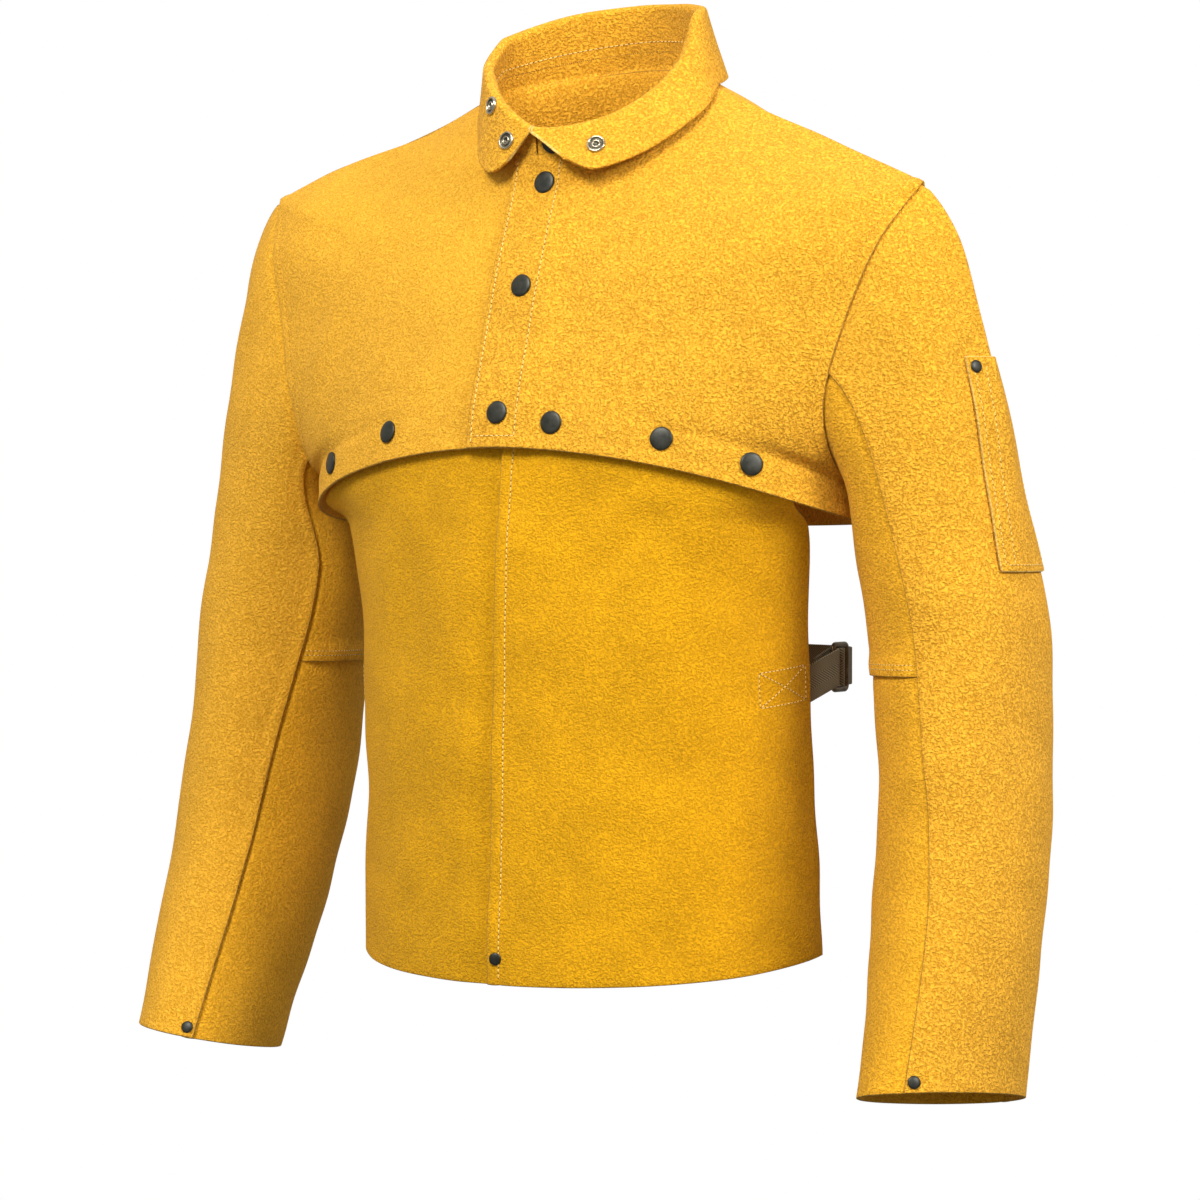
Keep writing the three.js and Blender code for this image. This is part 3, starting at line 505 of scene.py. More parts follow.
def front_run(row, x):
    return seated(cape_point, row, share_at(row, x), 1.0, -1)


def bib_run(at, across):
    return seated(bib_point, at, across, BIB_END, -1)


def sleeve_run(side, at, around):
    points, out = seated(sleeve_point, at, around, SLEEVE_END, 1)
    return (mirrored(points), out * (-1, 1, 1)) if side == "right" else (points, out)


# Grids, their normals, and distances to lines drawn on them
def grid_normals(grid, sense):
    across = np.gradient(grid, axis=1)
    down = np.gradient(grid, axis=0)
    return unit(np.cross(across, down)) * sense


def distance_to(points, line):
    flat = points.reshape(-1, 3)
    best = np.full(len(flat), 1e9)
    for start in range(0, len(flat), 4000):
        part = flat[start:start + 4000]
        gaps = np.linalg.norm(part[:, None, :] - line[None, :, :], axis=-1)
        best[start:start + 4000] = gaps.min(axis=1)
    return best.reshape(points.shape[:-1])


def steps_of(line):
    return np.linalg.norm(np.diff(line, axis=0), axis=1)


def read_off(places, keys, values):
    return np.stack([np.interp(places, keys, values[:, i]) for i in range(3)], 1)


WAVES = [
    (RNG.normal(size=3), RNG.uniform(0, 2 * math.pi), RNG.uniform(34, 120)) for _ in range(9)
]


# Slow unevenness of hide that has been worn
def uneven(points, height):
    total = np.zeros(points.shape[:-1])
    for direction, phase, length in WAVES:
        way = direction / np.linalg.norm(direction)
        total += np.sin(points @ way * 2 * math.pi / length + phase) * length / 120
    return total * height


# Soft folds, each from one place to another, with its height and its width across
def folds(points, lines):
    total = 0
    for start, end, height, width in lines:
        start, end = np.array(start, float), np.array(end, float)
        way = end - start
        share = ((points - start) @ way) / np.linalg.norm(way) ** 2
        off = np.linalg.norm(points - start - np.clip(share, 0, 1)[..., None] * way, axis=-1)
        taper = ease(-0.25, 0.3, share) * ease(1.25, 0.7, share)
        total = total + height * taper * np.exp(-(off / width) ** 2)
    return total


# A doubled edge: raised out to its width from a line, and drawn down along its stitches
def doubled(off, width, height, full, groove, groove_at, groove_width):
    drawn = groove * np.exp(-((off - groove_at * width) / groove_width) ** 2)
    return height * (1 - ease(full * width, width, off)) - drawn


# Meshes
def new_object(name, points, faces, materials, slots=None, uvs=None):
    mesh = bpy.data.meshes.new(name)
    mesh.from_pydata((np.asarray(points) * METRE).tolist(), [], [list(face) for face in faces])
    for material in materials:
        mesh.materials.append(material)
    if slots is not None:
        mesh.polygons.foreach_set("material_index", np.asarray(slots, dtype=np.int32))
    mesh.polygons.foreach_set("use_smooth", [True] * len(mesh.polygons))
    if uvs is not None:
        layer = mesh.uv_layers.new(name="UVMap")
        corners = np.zeros(len(mesh.loops), dtype=np.int32)
        mesh.loops.foreach_get("vertex_index", corners)
        layer.data.foreach_set("uv", np.asarray(uvs)[corners].ravel())
    mesh.validate()
    mesh.update()
    piece = bpy.data.objects.new(name, mesh)
    bpy.context.collection.objects.link(piece)
    return piece


# A piece of the cape on its one body, in its material's slot and for a node of the CAD model
def cape_piece(name, points, faces, materials, slots=None, uvs=None, stands_for=None):
    piece = new_object(name, points, faces, materials, slots, uvs)
    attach(piece, "root")
    if stands_for:
        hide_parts(stands_for)
    return piece


# Quads between two rings of points, by the number of each ring's first point
def band(first, second, sides):
    after = [(i + 1) % sides for i in range(sides)]
    return [(first + i, first + j, second + j, second + i) for i, j in enumerate(after)]


def volume(points, faces):
    a, b, c, d = (points[faces[:, i]] for i in range(4))
    return (np.einsum("ij,ij->i", a, np.cross(b, c)) + np.einsum("ij,ij->i", a, np.cross(c, d))).sum()


RIM_TURNS = np.radians([35, 90, 145])


# A closed leather wall between two grids, with a rounded cut edge all round
def wall(outer, inner, bulge=0.75, pale_ends=False):
    rows, columns = outer.shape[:2]
    top = [(0, c) for c in range(columns - 1)]
    right = [(r, columns - 1) for r in range(rows - 1)]
    foot = [(rows - 1, c) for c in range(columns - 1, 0, -1)]
    left = [(r, 0) for r in range(rows - 1, 0, -1)]
    loop = np.array(top + right + foot + left)
    r, c = loop[:, 0], loop[:, 1]
    inside = outer[np.clip(r, 1, rows - 2), np.clip(c, 1, columns - 2)]
    away = unit(outer[r, c] - inside)
    middle = (outer[r, c] + inner[r, c]) / 2
    half = (outer[r, c] - inner[r, c]) / 2
    thick = np.linalg.norm(half, axis=-1, keepdims=True)
    rings = [middle + half * math.cos(a) + away * thick * bulge * math.sin(a) for a in RIM_TURNS]
    count = rows * columns
    points = np.concatenate([outer.reshape(-1, 3), inner.reshape(-1, 3), *rings])
    grid = np.arange(count).reshape(rows, columns)
    quads = np.stack([grid[:-1, :-1], grid[:-1, 1:], grid[1:, 1:], grid[1:, :-1]], -1).reshape(-1, 4)
    around = len(loop)
    chain = [grid[r, c]]
    chain += [2 * count + i * around + np.arange(around) for i in range(len(rings))]
    chain.append(grid[r, c] + count)
    faces = [quads, quads[:, ::-1] + count]
    for before, after in zip(chain[:-1], chain[1:]):
        faces.append(np.stack([np.roll(before, -1), before, after, np.roll(after, -1)], -1))
    rim_slots = np.where(pale_ends & ((r == 0) | (r == rows - 1)) & (c > 0), 2, 1)
    slots = np.concatenate([np.zeros(2 * len(quads)), np.tile(rim_slots, len(rings) + 1)])
    faces = np.concatenate(faces)
    if volume(points, faces) < 0:
        faces = faces[:, ::-1]
    return points, faces, slots.astype(int)


trees = {}


def leather_piece(node_name, outer, inner, materials, bulge=0.75, pale_ends=False):
    points, faces, slots = wall(outer, inner, bulge, pale_ends)
    piece = cape_piece(node_name + "_hide", points, faces, materials, slots, stands_for=node_name)
    trees[node_name] = BVHTree.FromPolygons(points.tolist(), faces.tolist())


# A panel over a grid: how far its outer face rises from it, and how far the leather below does
def panel(node_name, grid, out, rise, wave, materials, right=False):
    outer = grid + out * rise[..., None]
    inner = grid + out * (wave - LEATHER)[..., None]
    if right:
        outer, inner = mirrored(outer), mirrored(inner)
    leather_piece(node_name, outer, inner, materials)


# Where a line or place drawn over a piece meets its finished surface, and the way out of it
CAST_FROM = 9
CAST_LENGTH = 30


def landed(host, points, out):
    places, normals = [], []
    for point, way in zip(points, out):
        start = Vector(point + way * CAST_FROM)
        place, normal, _, _ = trees[host].ray_cast(start, Vector(-way), CAST_LENGTH)
        if place is None:
            place, normal, _, _ = trees[host].find_nearest(Vector(point))
        normal = np.array(normal)
        places.append(np.array(place))
        normals.append(normal if normal @ way > 0 else -normal)
    return np.array(places), np.array(normals)


# Materials
def shader(name, slot_name, **sockets):
    material = bpy.data.materials.new(name)
    material.use_nodes = True
    material["slot"] = slot_name
    for socket, value in sockets.items():
        principled = material.node_tree.nodes["Principled BSDF"]
        principled.inputs[socket.replace("_", " ")].default_value = value
    return material, material.node_tree


def node(tree, kind, inputs=None, **settings):
    made = tree.nodes.new(kind)
    for name, value in settings.items():
        setattr(made, name, value)
    for key, value in (inputs or {}).items():
        if isinstance(value, bpy.types.NodeSocket):
            tree.links.new(value, made.inputs[key])
        else:
            made.inputs[key].default_value = value
    return made


def coordinates(tree, kind="Object"):
    return node(tree, "ShaderNodeTexCoord").outputs[kind]


def blended(tree, share, first, second, way="MIX"):
    first, second = ((*value, 1) if isinstance(value, tuple) else value for value in (first, second))
    inputs = {0: share, 6: first, 7: second}
    return node(tree, "ShaderNodeMix", inputs, data_type="RGBA", blend_type=way).outputs[2]


def ranged(tree, value, low, high, to_low=0.0, to_high=1.0):
    inputs = {"Value": value, "From Min": low, "From Max": high, "To Min": to_low, "To Max": to_high}
    return node(tree, "ShaderNodeMapRange", inputs).outputs[0]


def noise(tree, scale, detail=2.0, roughness=0.5, distortion=0.0):
    inputs = {"Vector": coordinates(tree), "Scale": scale, "Detail": detail, "Roughness": roughness,
              "Distortion": distortion}
    return node(tree, "ShaderNodeTexNoise", inputs).outputs[0]


# Colour and relief put on a material
def coated(material, colour, height, strength, relief):
    tree = material.node_tree
    sockets = tree.nodes["Principled BSDF"].inputs
    bump = node(tree, "ShaderNodeBump", {"Height": height, "Strength": strength, "Distance": relief})
    tree.links.new(colour, sockets["Base Color"])
    tree.links.new(bump.outputs[0], sockets["Normal"])
    return material


# Napped split leather: short fine nap over a cloudy tone
def suede(name, slot_name, dark, bright, grain=600.0, relief=0.0006, cloud=0.1):
    material, tree = shader(
        name, slot_name, Roughness=0.9, Specular_IOR_Level=0.15,
        Sheen_Weight=0.08, Sheen_Roughness=0.5, Sheen_Tint=(1.0, 0.85, 0.5, 1),
    )
    nap = ranged(tree, noise(tree, grain, 2.0, 0.55, 0.6), 0.34, 0.62)
    tone = ranged(tree, noise(tree, 22.0, 4.0, 0.6, 0.3), 0.3, 0.7)
    shade = blended(tree, tone, (1, 1, 1), (1 - cloud, 1 - cloud, 1 - cloud))
    colour = blended(tree, 1.0, blended(tree, nap, dark, bright), shade, "MULTIPLY")
    return coated(material, colour, nap, 1.0, relief)


hide = suede("suede_hide", "suede", (0.60, 0.268, 0.010), (0.97, 0.478, 0.034), 560.0, 0.0009)
calm_hide = suede("calm_hide", "suede", (0.68, 0.315, 0.012), (0.94, 0.475, 0.036), 620.0, 0.0007)
bib_hide = suede("bib_hide", "suede", (0.64, 0.295, 0.001), (0.87, 0.425, 0.004), 640.0, cloud=0.17)
under = suede("under_sleeve_hide", "smooth_leather", (0.64, 0.295, 0.008), (0.91, 0.445, 0.022),
              relief=0.0007)
cut_edge = suede("cut_edge", "suede", (0.34, 0.16, 0.012), (0.56, 0.30, 0.04))
pale_edge = suede("pale_cut_edge", "suede", (0.56, 0.34, 0.06), (0.86, 0.56, 0.14))


def twisted_thread(name, dark, bright):
    material, tree = shader(name, "thread", Roughness=0.6, Specular_IOR_Level=0.3)
    strand = noise(tree, 1800.0, 1.0)
    colour = blended(tree, ranged(tree, strand, 0.35, 0.65), dark, bright)
    return coated(material, colour, strand, 0.4, 0.0002)


thread = twisted_thread("thread", (0.80, 0.50, 0.11), (0.98, 0.71, 0.25))
tonal_thread = twisted_thread("tonal_thread", (0.56, 0.24, 0.006), (0.84, 0.40, 0.02))
# Needle holes: near-black, painted shade standing in for the dark inside of each hole
hole_painted_shade = twisted_thread("needle_hole_painted_shade", (0.10, 0.05, 0.008), (0.2, 0.1, 0.02))


def worn_metal(name, slot_name, dark, bright, rough, metal):
    material, tree = shader(name, slot_name, Metallic=metal, Specular_IOR_Level=0.5)
    wear = noise(tree, 260.0, 4.0, 0.6)
    colour = blended(tree, ranged(tree, wear, 0.35, 0.68), dark, bright)
    tree.links.new(ranged(tree, wear, 0.3, 0.7, rough - 0.06, rough + 0.08),
                   tree.nodes["Principled BSDF"].inputs["Roughness"])
    return coated(material, colour, wear, 0.25, 0.0002)


cap_black = worn_metal("cap_black", "snap_cap", (0.018, 0.018, 0.012), (0.036, 0.036, 0.025), 0.4, 0.45)
nickel = worn_metal("nickel", "snap_socket", (0.42, 0.36, 0.24), (0.66, 0.6, 0.46), 0.24, 1.0)
# Near-black nickel for a socket's groove and centre hollow: painted shade
nickel_painted_shade = worn_metal("nickel_hollow_painted_shade", "snap_socket", (0.09, 0.08, 0.055), (0.16, 0.14, 0.1), 0.4, 0.9)
bronze = worn_metal("bronze", "buckle", (0.10, 0.07, 0.035), (0.2, 0.15, 0.085), 0.34, 0.85)

# Webbing woven in zigzag twill, from the strap's own run in millimetres and its width as 0 to 1
ZIGZAG = 1 / 3
RIBS = 11
YARNS = 34


def woven(name):
    material, tree = shader(name, "webbing", Roughness=0.8, Specular_IOR_Level=0.3, Sheen_Weight=0.15)

    def maths(operation, first, second=0.0):
        return node(tree, "ShaderNodeMath", {0: first, 1: second}, operation=operation).outputs[0]

    parts = node(tree, "ShaderNodeSeparateXYZ", {0: coordinates(tree, "UV")})
    run, across = parts.outputs[0], parts.outputs[1]
    zigzag = maths("MULTIPLY", maths("PINGPONG", across, ZIGZAG), 1.3)
    slant = maths("ADD", maths("MULTIPLY", run, 1 / STRAP_WIDTH), zigzag)
    rib = maths("SINE", maths("MULTIPLY", slant, 2 * math.pi * RIBS))
    yarn = maths("SINE", maths("MULTIPLY", across, 2 * math.pi * YARNS))
    colour = blended(tree, ranged(tree, rib, -0.6, 0.6), (0.10, 0.082, 0.045), (0.33, 0.27, 0.15))
    return coated(material, colour, maths("ADD", rib, yarn), 0.6, 0.0003)


webbing = woven("webbing")

# Fastener places on the cape's front, as (row, share of the hem's half width), and how the
# leather is drawn in under them
PLACKET_SNAPS = [(0.095, 7.6 / HEM_HALF), (0.455, 6 / HEM_HALF), (0.885, 3 / HEM_HALF)]
BIB_SNAPS = [(0.92, -0.79), (0.9, -0.46), (0.91, 0.21), (0.91, 0.575), (0.92, 0.83)]
DENT_RADIUS = 7.6
DENT_DEPTH = 0.7


def cape_front(row, out):
    point = cape_point(row, share_at(row, abs(out) * HEM_HALF))
    return mirrored(point) if out < 0 else point


placket_caps = [cape_front(row, out) for row, out in PLACKET_SNAPS]
bib_caps = [cape_front(row, out) for row, out in BIB_SNAPS]


def drawn_in(points, places):
    total = np.zeros(points.shape[:-1])
    for place in places:
        off = np.linalg.norm(points - place, axis=-1) - 0.6 * DENT_RADIUS
        total -= DENT_DEPTH * np.exp(-(off / (0.75 * DENT_RADIUS)) ** 2)
    return total


# The cape: doubled along the armholes and the hem, and tucked at the seams
WELT = dict(width=9.0, height=0.7, full=0.72, groove=0.5, groove_at=0.8, groove_width=1.4)
SEAM_TUCK = 1.3
TUCK_REACH = 5.0
HEM_TURN = 0.5
CAPE_ROWS = 144
LAP_COLUMNS = 27
FRONT_COLUMNS = 77
BACK_COLUMNS = 94
FRONT_UNEVEN = 0.3
BACK_UNEVEN = 0.4
RIGHT_OFFSET = (7, 3, 5)

places = np.linspace(0, 1, 320)
armhole_lines = {("left", back): armhole_edge(places, back) for back in (False, True)}
for back in (False, True):
    armhole_lines["right", back] = mirrored(armhole_lines["left", back])


def welt(points, *line):
    return doubled(distance_to(points, armhole_lines[line]), **WELT)


rows = np.linspace(0, 1, CAPE_ROWS)[:, None]
hem_turn = HEM_TURN * ease(0.955, 0.985, rows)
lap_end = PLACKET_LAP + PLACKET_BLEND
lap_shares = share_at(rows, np.linspace(-PLACKET_LAP, lap_end, LAP_COLUMNS)[None, :])
edge_shares = 1 - SEAM_GAP / 2 / cape_edge(rows[:, 0], False)[:, :1]
spread = np.linspace(0, 1, FRONT_COLUMNS + 1)[None, 1:]
far_shares = mix(lap_shares[:, -1:], edge_shares, spread)
front = cape_point(rows, np.concatenate([lap_shares, far_shares], 1))
front_out = grid_normals(front, -1)

# Creases where the arm pushes the chest forward, and the pull between the two lowest studs
LEFT_FOLDS = [
    ((178, -96, -176), (200, -58, -244), -2.2, 8),
    ((168, -104, -150), (196, -66, -236), 2.2, 13),
    ((150, -118, -205), (188, -92, -262), -1.6, 12),
    ((60, -128, -120), (120, -122, -230), 0.9, 30),
]
RIGHT_FOLDS = [
    ((168, -104, -140), (192, -70, -230), 2.0, 14),
    ((70, -126, -130), (120, -120, -235), 0.9, 28),
]

# The right front is shaped on the left side and mirrored; it lies flat where the left one laps it
raised = welt(front, "left", False) + hem_turn
wave = overlap_lift(front) + uneven(front, FRONT_UNEVEN) + folds(front, LEFT_FOLDS)
dents = drawn_in(front, placket_caps + [place for place in bib_caps if place[0] > 0])
panel("front_left", front, front_out, wave + raised + dents, wave, [hide, cut_edge])

wave = uneven(front + RIGHT_OFFSET, FRONT_UNEVEN) + folds(front, RIGHT_FOLDS)
wave = wave * ease(PLACKET_LAP, lap_end, front[..., 0])
dents = drawn_in(front, [mirrored(place) for place in bib_caps if place[0] < 0])
panel("front_right", front, front_out, wave + raised + dents, wave, [calm_hide, cut_edge], True)

back_edge = 1 - SEAM_GAP / 2 / cape_edge(rows[:, 0], True)[:, :1]
half = cape_point(rows, np.linspace(0, 1, BACK_COLUMNS)[None, :] * back_edge, True)
whole = np.concatenate([mirrored(half)[:, :0:-1], half], 1)
wave = uneven(whole, BACK_UNEVEN)
raised = hem_turn + welt(whole, "left", True) + welt(whole, "right", True)
panel("back", whole, grid_normals(whole, 1), wave + raised, wave, [hide, cut_edge])

# Sleeves: the outer panel's turned edges lie over the under-sleeve, whose edges tuck in below
PANEL_WELT = dict(width=8.0, height=0.9, full=0.7, groove=0.4, groove_at=0.82, groove_width=1.2)
UNDER_LAP = 3.5
SLEEVE_UNEVEN = 0.35
SLEEVE_OFFSET = (31, 12, 5)
OUTER_COLUMNS = 88
UNDER_COLUMNS = 82
ROWS_UNDER_CAPE = [-0.45, -0.25, -0.1]
SLEEVE_FOLDS = [
    ((250, -72, -352), (262, -74, -402), -3.0, 11),
    ((274, -82, -330), (276, -84, -404), 1.8, 9),
]
CROSS_LAP = 3.0 / SLEEVE_LENGTH * SLEEVE_END
CROSS_LIFT = 1.7
CROSS_SINK = 0.9
RIGHT_SEAM_DEPTH = 1.8
armhole_loop = np.concatenate([armhole_lines["left", False], armhole_lines["left", True]])


def sleeve_rows(end, count):
    return np.concatenate([ROWS_UNDER_CAPE, np.linspace(0, 1, 68)[:-1], np.linspace(1, end, count)])


# The rows before the first run back under the cape's edge
def sleeve_grid(stations, around):
    points = sleeve_point(np.maximum(stations, 0), around)
    back_run = np.minimum(stations, 0) * 10
    return points + unit(sleeve_leave(around)) * back_run[..., None]


# The right sleeve's seams stand out more than the left's, which flatten below the elbow
def sleeve_panel(side, piece, stations, materials, shift=0.0):
    seams = read(SLEEVE_SEAMS[side], np.maximum(stations, 0))
    gap, lap = SEAM_GAP / SLEEVE_GIRTH / 2, UNDER_LAP / SLEEVE_GIRTH
    if piece == "outer":
        low, high, columns = seams["back"] - 1 + gap, seams["front"] - gap, OUTER_COLUMNS
    else:
        low, high, columns = seams["front"] - lap, seams["back"] + lap, UNDER_COLUMNS
    around = mix(low[:, None], high[:, None], np.linspace(0, 1, columns)[None, :])
    grid = sleeve_grid(np.broadcast_to(stations[:, None], around.shape), around)
    right = side == "right"
    wave = uneven(grid + np.multiply(SLEEVE_OFFSET, right), SLEEVE_UNEVEN)
    if piece != "inner_lower":
        wave = wave - SEAM_TUCK * (1 - ease(1.5, TUCK_REACH + 2, distance_to(grid, armhole_loop)))
    at = np.linspace(0, SLEEVE_END, 420)
    lines = read(SLEEVE_SEAMS[side], at)
    near = np.minimum(*(distance_to(grid, sleeve_point(at, lines[name])) for name in ("front", "back")))
    depth = RIGHT_SEAM_DEPTH
    if not right:
        wave = wave + folds(grid, SLEEVE_FOLDS)
        depth = 1 - 0.6 * ease(-250.0, -300.0, grid[..., 2])
    rise = wave
    if piece == "outer":
        rise = wave + depth * doubled(near, **PANEL_WELT)
    else:
        rise = wave = wave - depth * SEAM_TUCK * (1 - ease(1.0, TUCK_REACH, near))
    panel(f"{side}_sleeve_{piece}", grid, grid_normals(grid, 1), rise + shift, wave + shift, materials, right)


for side in ("left", "right"):
    sleeve_panel(side, "outer", sleeve_rows(SLEEVE_END, 162), [hide if side == "left" else calm_hide, cut_edge])
    stations = sleeve_rows(CROSS_SEAM + CROSS_LAP, 38)
    share = np.linspace(0, 1, UNDER_COLUMNS)
    clear = ease(0.02, 0.1, share) * ease(0.98, 0.9, share)
    lifted = CROSS_LIFT * ease(CROSS_SEAM - 0.12, CROSS_SEAM - 0.02, stations)[:, None] * clear
    sleeve_panel(side, "inner_upper", stations, [under, cut_edge], lifted)
    stations = np.linspace(CROSS_SEAM - 0.02, SLEEVE_END, 153)
    sunk = CROSS_SINK * (1 - ease(CROSS_SEAM, CROSS_SEAM + 0.09, stations))[:, None]
    sleeve_panel(side, "inner_lower", stations, [under, cut_edge], -sunk)

# Collar: its columns are closer together towards the ends
COLLAR_UNEVEN = 0.3
half_turns = mix(0.001, 0.999, np.linspace(0, 1, 154) ** 1.35)
turns = np.concatenate([-half_turns, half_turns[::-1]])
grid = collar_section(turns, foot=True)
out = grid_normals(grid, 1)
swell = uneven(grid, COLLAR_UNEVEN)[..., None]
leather_piece("collar", grid + out * swell, grid + out * (swell + COLLAR_LEATHER),
              [hide, hide, pale_edge], bulge=0.9, pale_ends=True)

# Bib: the left half laps over the right one, with a stitched band along its edge
BIB_ROWS = 162
BIB_TOP_ROWS = 25
BIB_COLUMNS = 94
BIB_UNEVEN = 0.5
BIB_FOLDS = [
    ((132, -92, -284), (72, -122, -344), -2.6, 11),
    ((148, -72, -286), (164, -56, -334), -2.6, 10),
    ((150, -80, -270), (95, -118, -420), 2.4, 20),
    ((60, -130, -265), (70, -128, -380), -1.6, 22),
    ((120, -105, -300), (100, -114, -600), 1.2, 34),
    ((-90, -118, -270), (-110, -105, -420), 1.8, 22),
    ((-60, -128, -420), (-70, -126, -600), 1.0, 34),
]
SEAM_BAND = dict(width=8.0, height=0.8, full=0.7, groove=0.6, groove_at=1.0, groove_width=1.5)
bib_rows = np.concatenate([np.linspace(0, 1, BIB_TOP_ROWS + 1)[:-1], np.linspace(1, BIB_END, BIB_ROWS - BIB_TOP_ROWS)])
lap = BIB_LAP / BIB_GIRTH
blend = BIB_LAP_BLEND / BIB_GIRTH
seam = bib_seam(bib_rows)[:, None]
spread = np.linspace(0, 1, BIB_COLUMNS)[None, :]
settle = ease(0.9, 1.6, bib_rows)[:, None]
for side, columns in (("left", mix(seam, 1, spread)), ("right", mix(-1, seam + lap, spread))):
    grid = bib_point(bib_rows[:, None], columns)
    wave = (uneven(grid, BIB_UNEVEN) + folds(grid, BIB_FOLDS)) * settle
    if side == "left":
        rise = wave + doubled((columns - seam) * BIB_GIRTH, **SEAM_BAND)
    else:
        rise = wave = wave - (LEATHER + LAP_GAP) * ease(seam - blend, seam, columns)
    panel(f"bib_{side}", grid, grid_normals(grid, -1), rise, wave, [bib_hide, cut_edge])


# Pen pocket
def pocket_place(share, across):
    around = mix(POCKET_FRONT_TOP, POCKET_FRONT_FOOT, share) - across * POCKET_WIDTH / SLEEVE_GIRTH
    return sleeve_at_drop(POCKET_DROP + POCKET_HEIGHT * share, around), around


POCKET_UNEVEN = 0.5
POCKET_SEAT = 0.2
grid = sleeve_point(*pocket_place(np.linspace(0, 1, 68)[:, None], np.linspace(0, 1, 34)[None, :]))
rise = uneven(grid, POCKET_UNEVEN) + LAP_GAP + LEATHER
panel("pen_pocket", grid, grid_normals(grid, -1), rise, rise - POCKET_SEAT, [hide, pale_edge])


# Stitches: short arched threads, with a needle hole at each end of every one, painted near-black as the shade inside
# it
def stitch_line(host, line, out, pitch=3.8, length=2.9, radius=0.38, sink=0.0):
    run = np.concatenate([[0], np.cumsum(steps_of(line))])
    count = max(int(run[-1] / pitch), 1)
    spots = read_off((np.arange(count) + 0.5) * run[-1] / count, run, line)
    ways = read_off(np.arange(count) / max(count - 1, 1), np.linspace(0, 1, len(out)), out)
    spots, normals = landed(host, spots, unit(ways))
    return dict(spots=spots, normals=normals, tangents=unit(np.gradient(spots, axis=0)),
                length=length, radius=radius, sink=sink)


STITCH_SIDES = 7
STITCH_RINGS = np.array([-1.0, -0.72, 0.0, 0.72, 1.0])
HOLE_RINGS = ((-0.3, 1.0), (0.05, 0.8))
STITCH_TURNS = np.linspace(0, 2 * math.pi, STITCH_SIDES, endpoint=False)


def sew(name, runs, yarn=thread):
    points, faces, slots = [], [], []

    def add_tube(rings, first, slot, inward=False):
        start = len(points)
        for centre, one, other in rings:
            points.extend(centre + one * math.cos(turn) + other * math.sin(turn) for turn in STITCH_TURNS)
        last = start + (len(rings) - 1) * STITCH_SIDES
        tube = []
        for ring in range(start, last, STITCH_SIDES):
            tube += band(ring, ring + STITCH_SIDES, STITCH_SIDES)
        tube.append(tuple(range(start, start + STITCH_SIDES))[::-1])
        tube.append(tuple(range(last, last + STITCH_SIDES)))
        faces.extend([face[::-1] for face in tube] if inward else tube)
        slots.extend([slot] * len(tube))

    for run in runs:
        wide = run["radius"]
        hole = 1.35 * wide
        for spot, normal, tangent in zip(run["spots"], run["normals"], run["tangents"]):
            tangent = unit(tangent - normal * (tangent @ normal))
            side = np.cross(normal, tangent)
            rings = []
            for ring in STITCH_RINGS:
                radius = wide * math.sqrt(1 - 0.8 * ring * ring)
                centre = spot + tangent * ring * run["length"] / 2
                centre = centre + normal * (wide * (0.75 - 1.1 * ring * ring) - run["sink"])
                rings.append((centre, side * radius, normal * radius))
            add_tube(rings, 0, 0)
            # A shallow inward cup at each end of the stitch, in the hole's painted-shade material
            for end in (-1, 1):
                centre = spot + tangent * end * (run["length"] / 2 + 0.2 * hole)
                add_tube([(centre + normal * up, side * hole * size, tangent * hole * size)
                          for up, size in HOLE_RINGS], 0, 1, inward=True)
    cape_piece(name, np.array(points), faces, [yarn, hole_painted_shade], slots)


STITCH_LEFT = -16.3
STITCH_RIGHT = 18.2
STITCH_TOP = 0.02
STITCH_HEM = 0.963
STITCH_FOOT = 0.985
placket_runs = []
for row_from, row_to, x_from, x_to in (
    (STITCH_TOP, STITCH_FOOT, STITCH_LEFT, STITCH_LEFT),
    (STITCH_TOP, STITCH_HEM, STITCH_RIGHT, STITCH_RIGHT),
    (STITCH_HEM, STITCH_HEM, STITCH_LEFT + 3, STITCH_RIGHT),
):
    run = front_run(np.linspace(row_from, row_to, 160), np.linspace(x_from, x_to, 160))
    placket_runs.append(stitch_line("front_left", *run))
sew("placket_stitches", placket_runs)

# Topstitching beside each armhole, found by walking in from the edge along the rows
ARMHOLE_STITCH_OFF = 7.2


def armhole_stitches(side, back):
    at = np.linspace(SHOULDER_ROW + 0.012, ARMPIT_ROW - 0.02, 200)
    grid = cape_point(at[:, None], np.linspace(0.8, 1, 60)[None, :], back)
    off = distance_to(grid, armhole_lines["left", back])
    column = np.argmin(np.abs(off - ARMHOLE_STITCH_OFF), axis=1)
    points = grid[np.arange(len(at)), column]
    out = grid_normals(grid, 1 if back else -1)[np.arange(len(at)), column]
    if side == "right":
        points, out = mirrored(points), out * (-1, 1, 1)
    return stitch_line("back" if back else f"front_{side}", points, out, radius=0.26, sink=0.2)


sew("armhole_stitches",
    [armhole_stitches(side, back) for back in (False, True) for side in ("left", "right")], tonal_thread)

# Two rows across each under-sleeve, above the cross seam
CROSS_ROWS = (5.0, 9.0)
for side in ("left", "right"):
    runs = []
    for above in CROSS_ROWS:
        level = np.full(120, CROSS_SEAM + CROSS_LAP - above / SLEEVE_LENGTH * SLEEVE_END)
        seams = read(SLEEVE_SEAMS[side], level)
        inset = 3 / SLEEVE_GIRTH
        around = mix(seams["front"] + inset, seams["back"] - inset, np.linspace(0, 1, 120))
        runs.append(stitch_line(f"{side}_sleeve_inner_upper", *sleeve_run(side, level, around),
                                pitch=3.0, length=2.2, radius=0.26, sink=0.12))
    sew(f"{side}_cross_seam_stitches", runs)

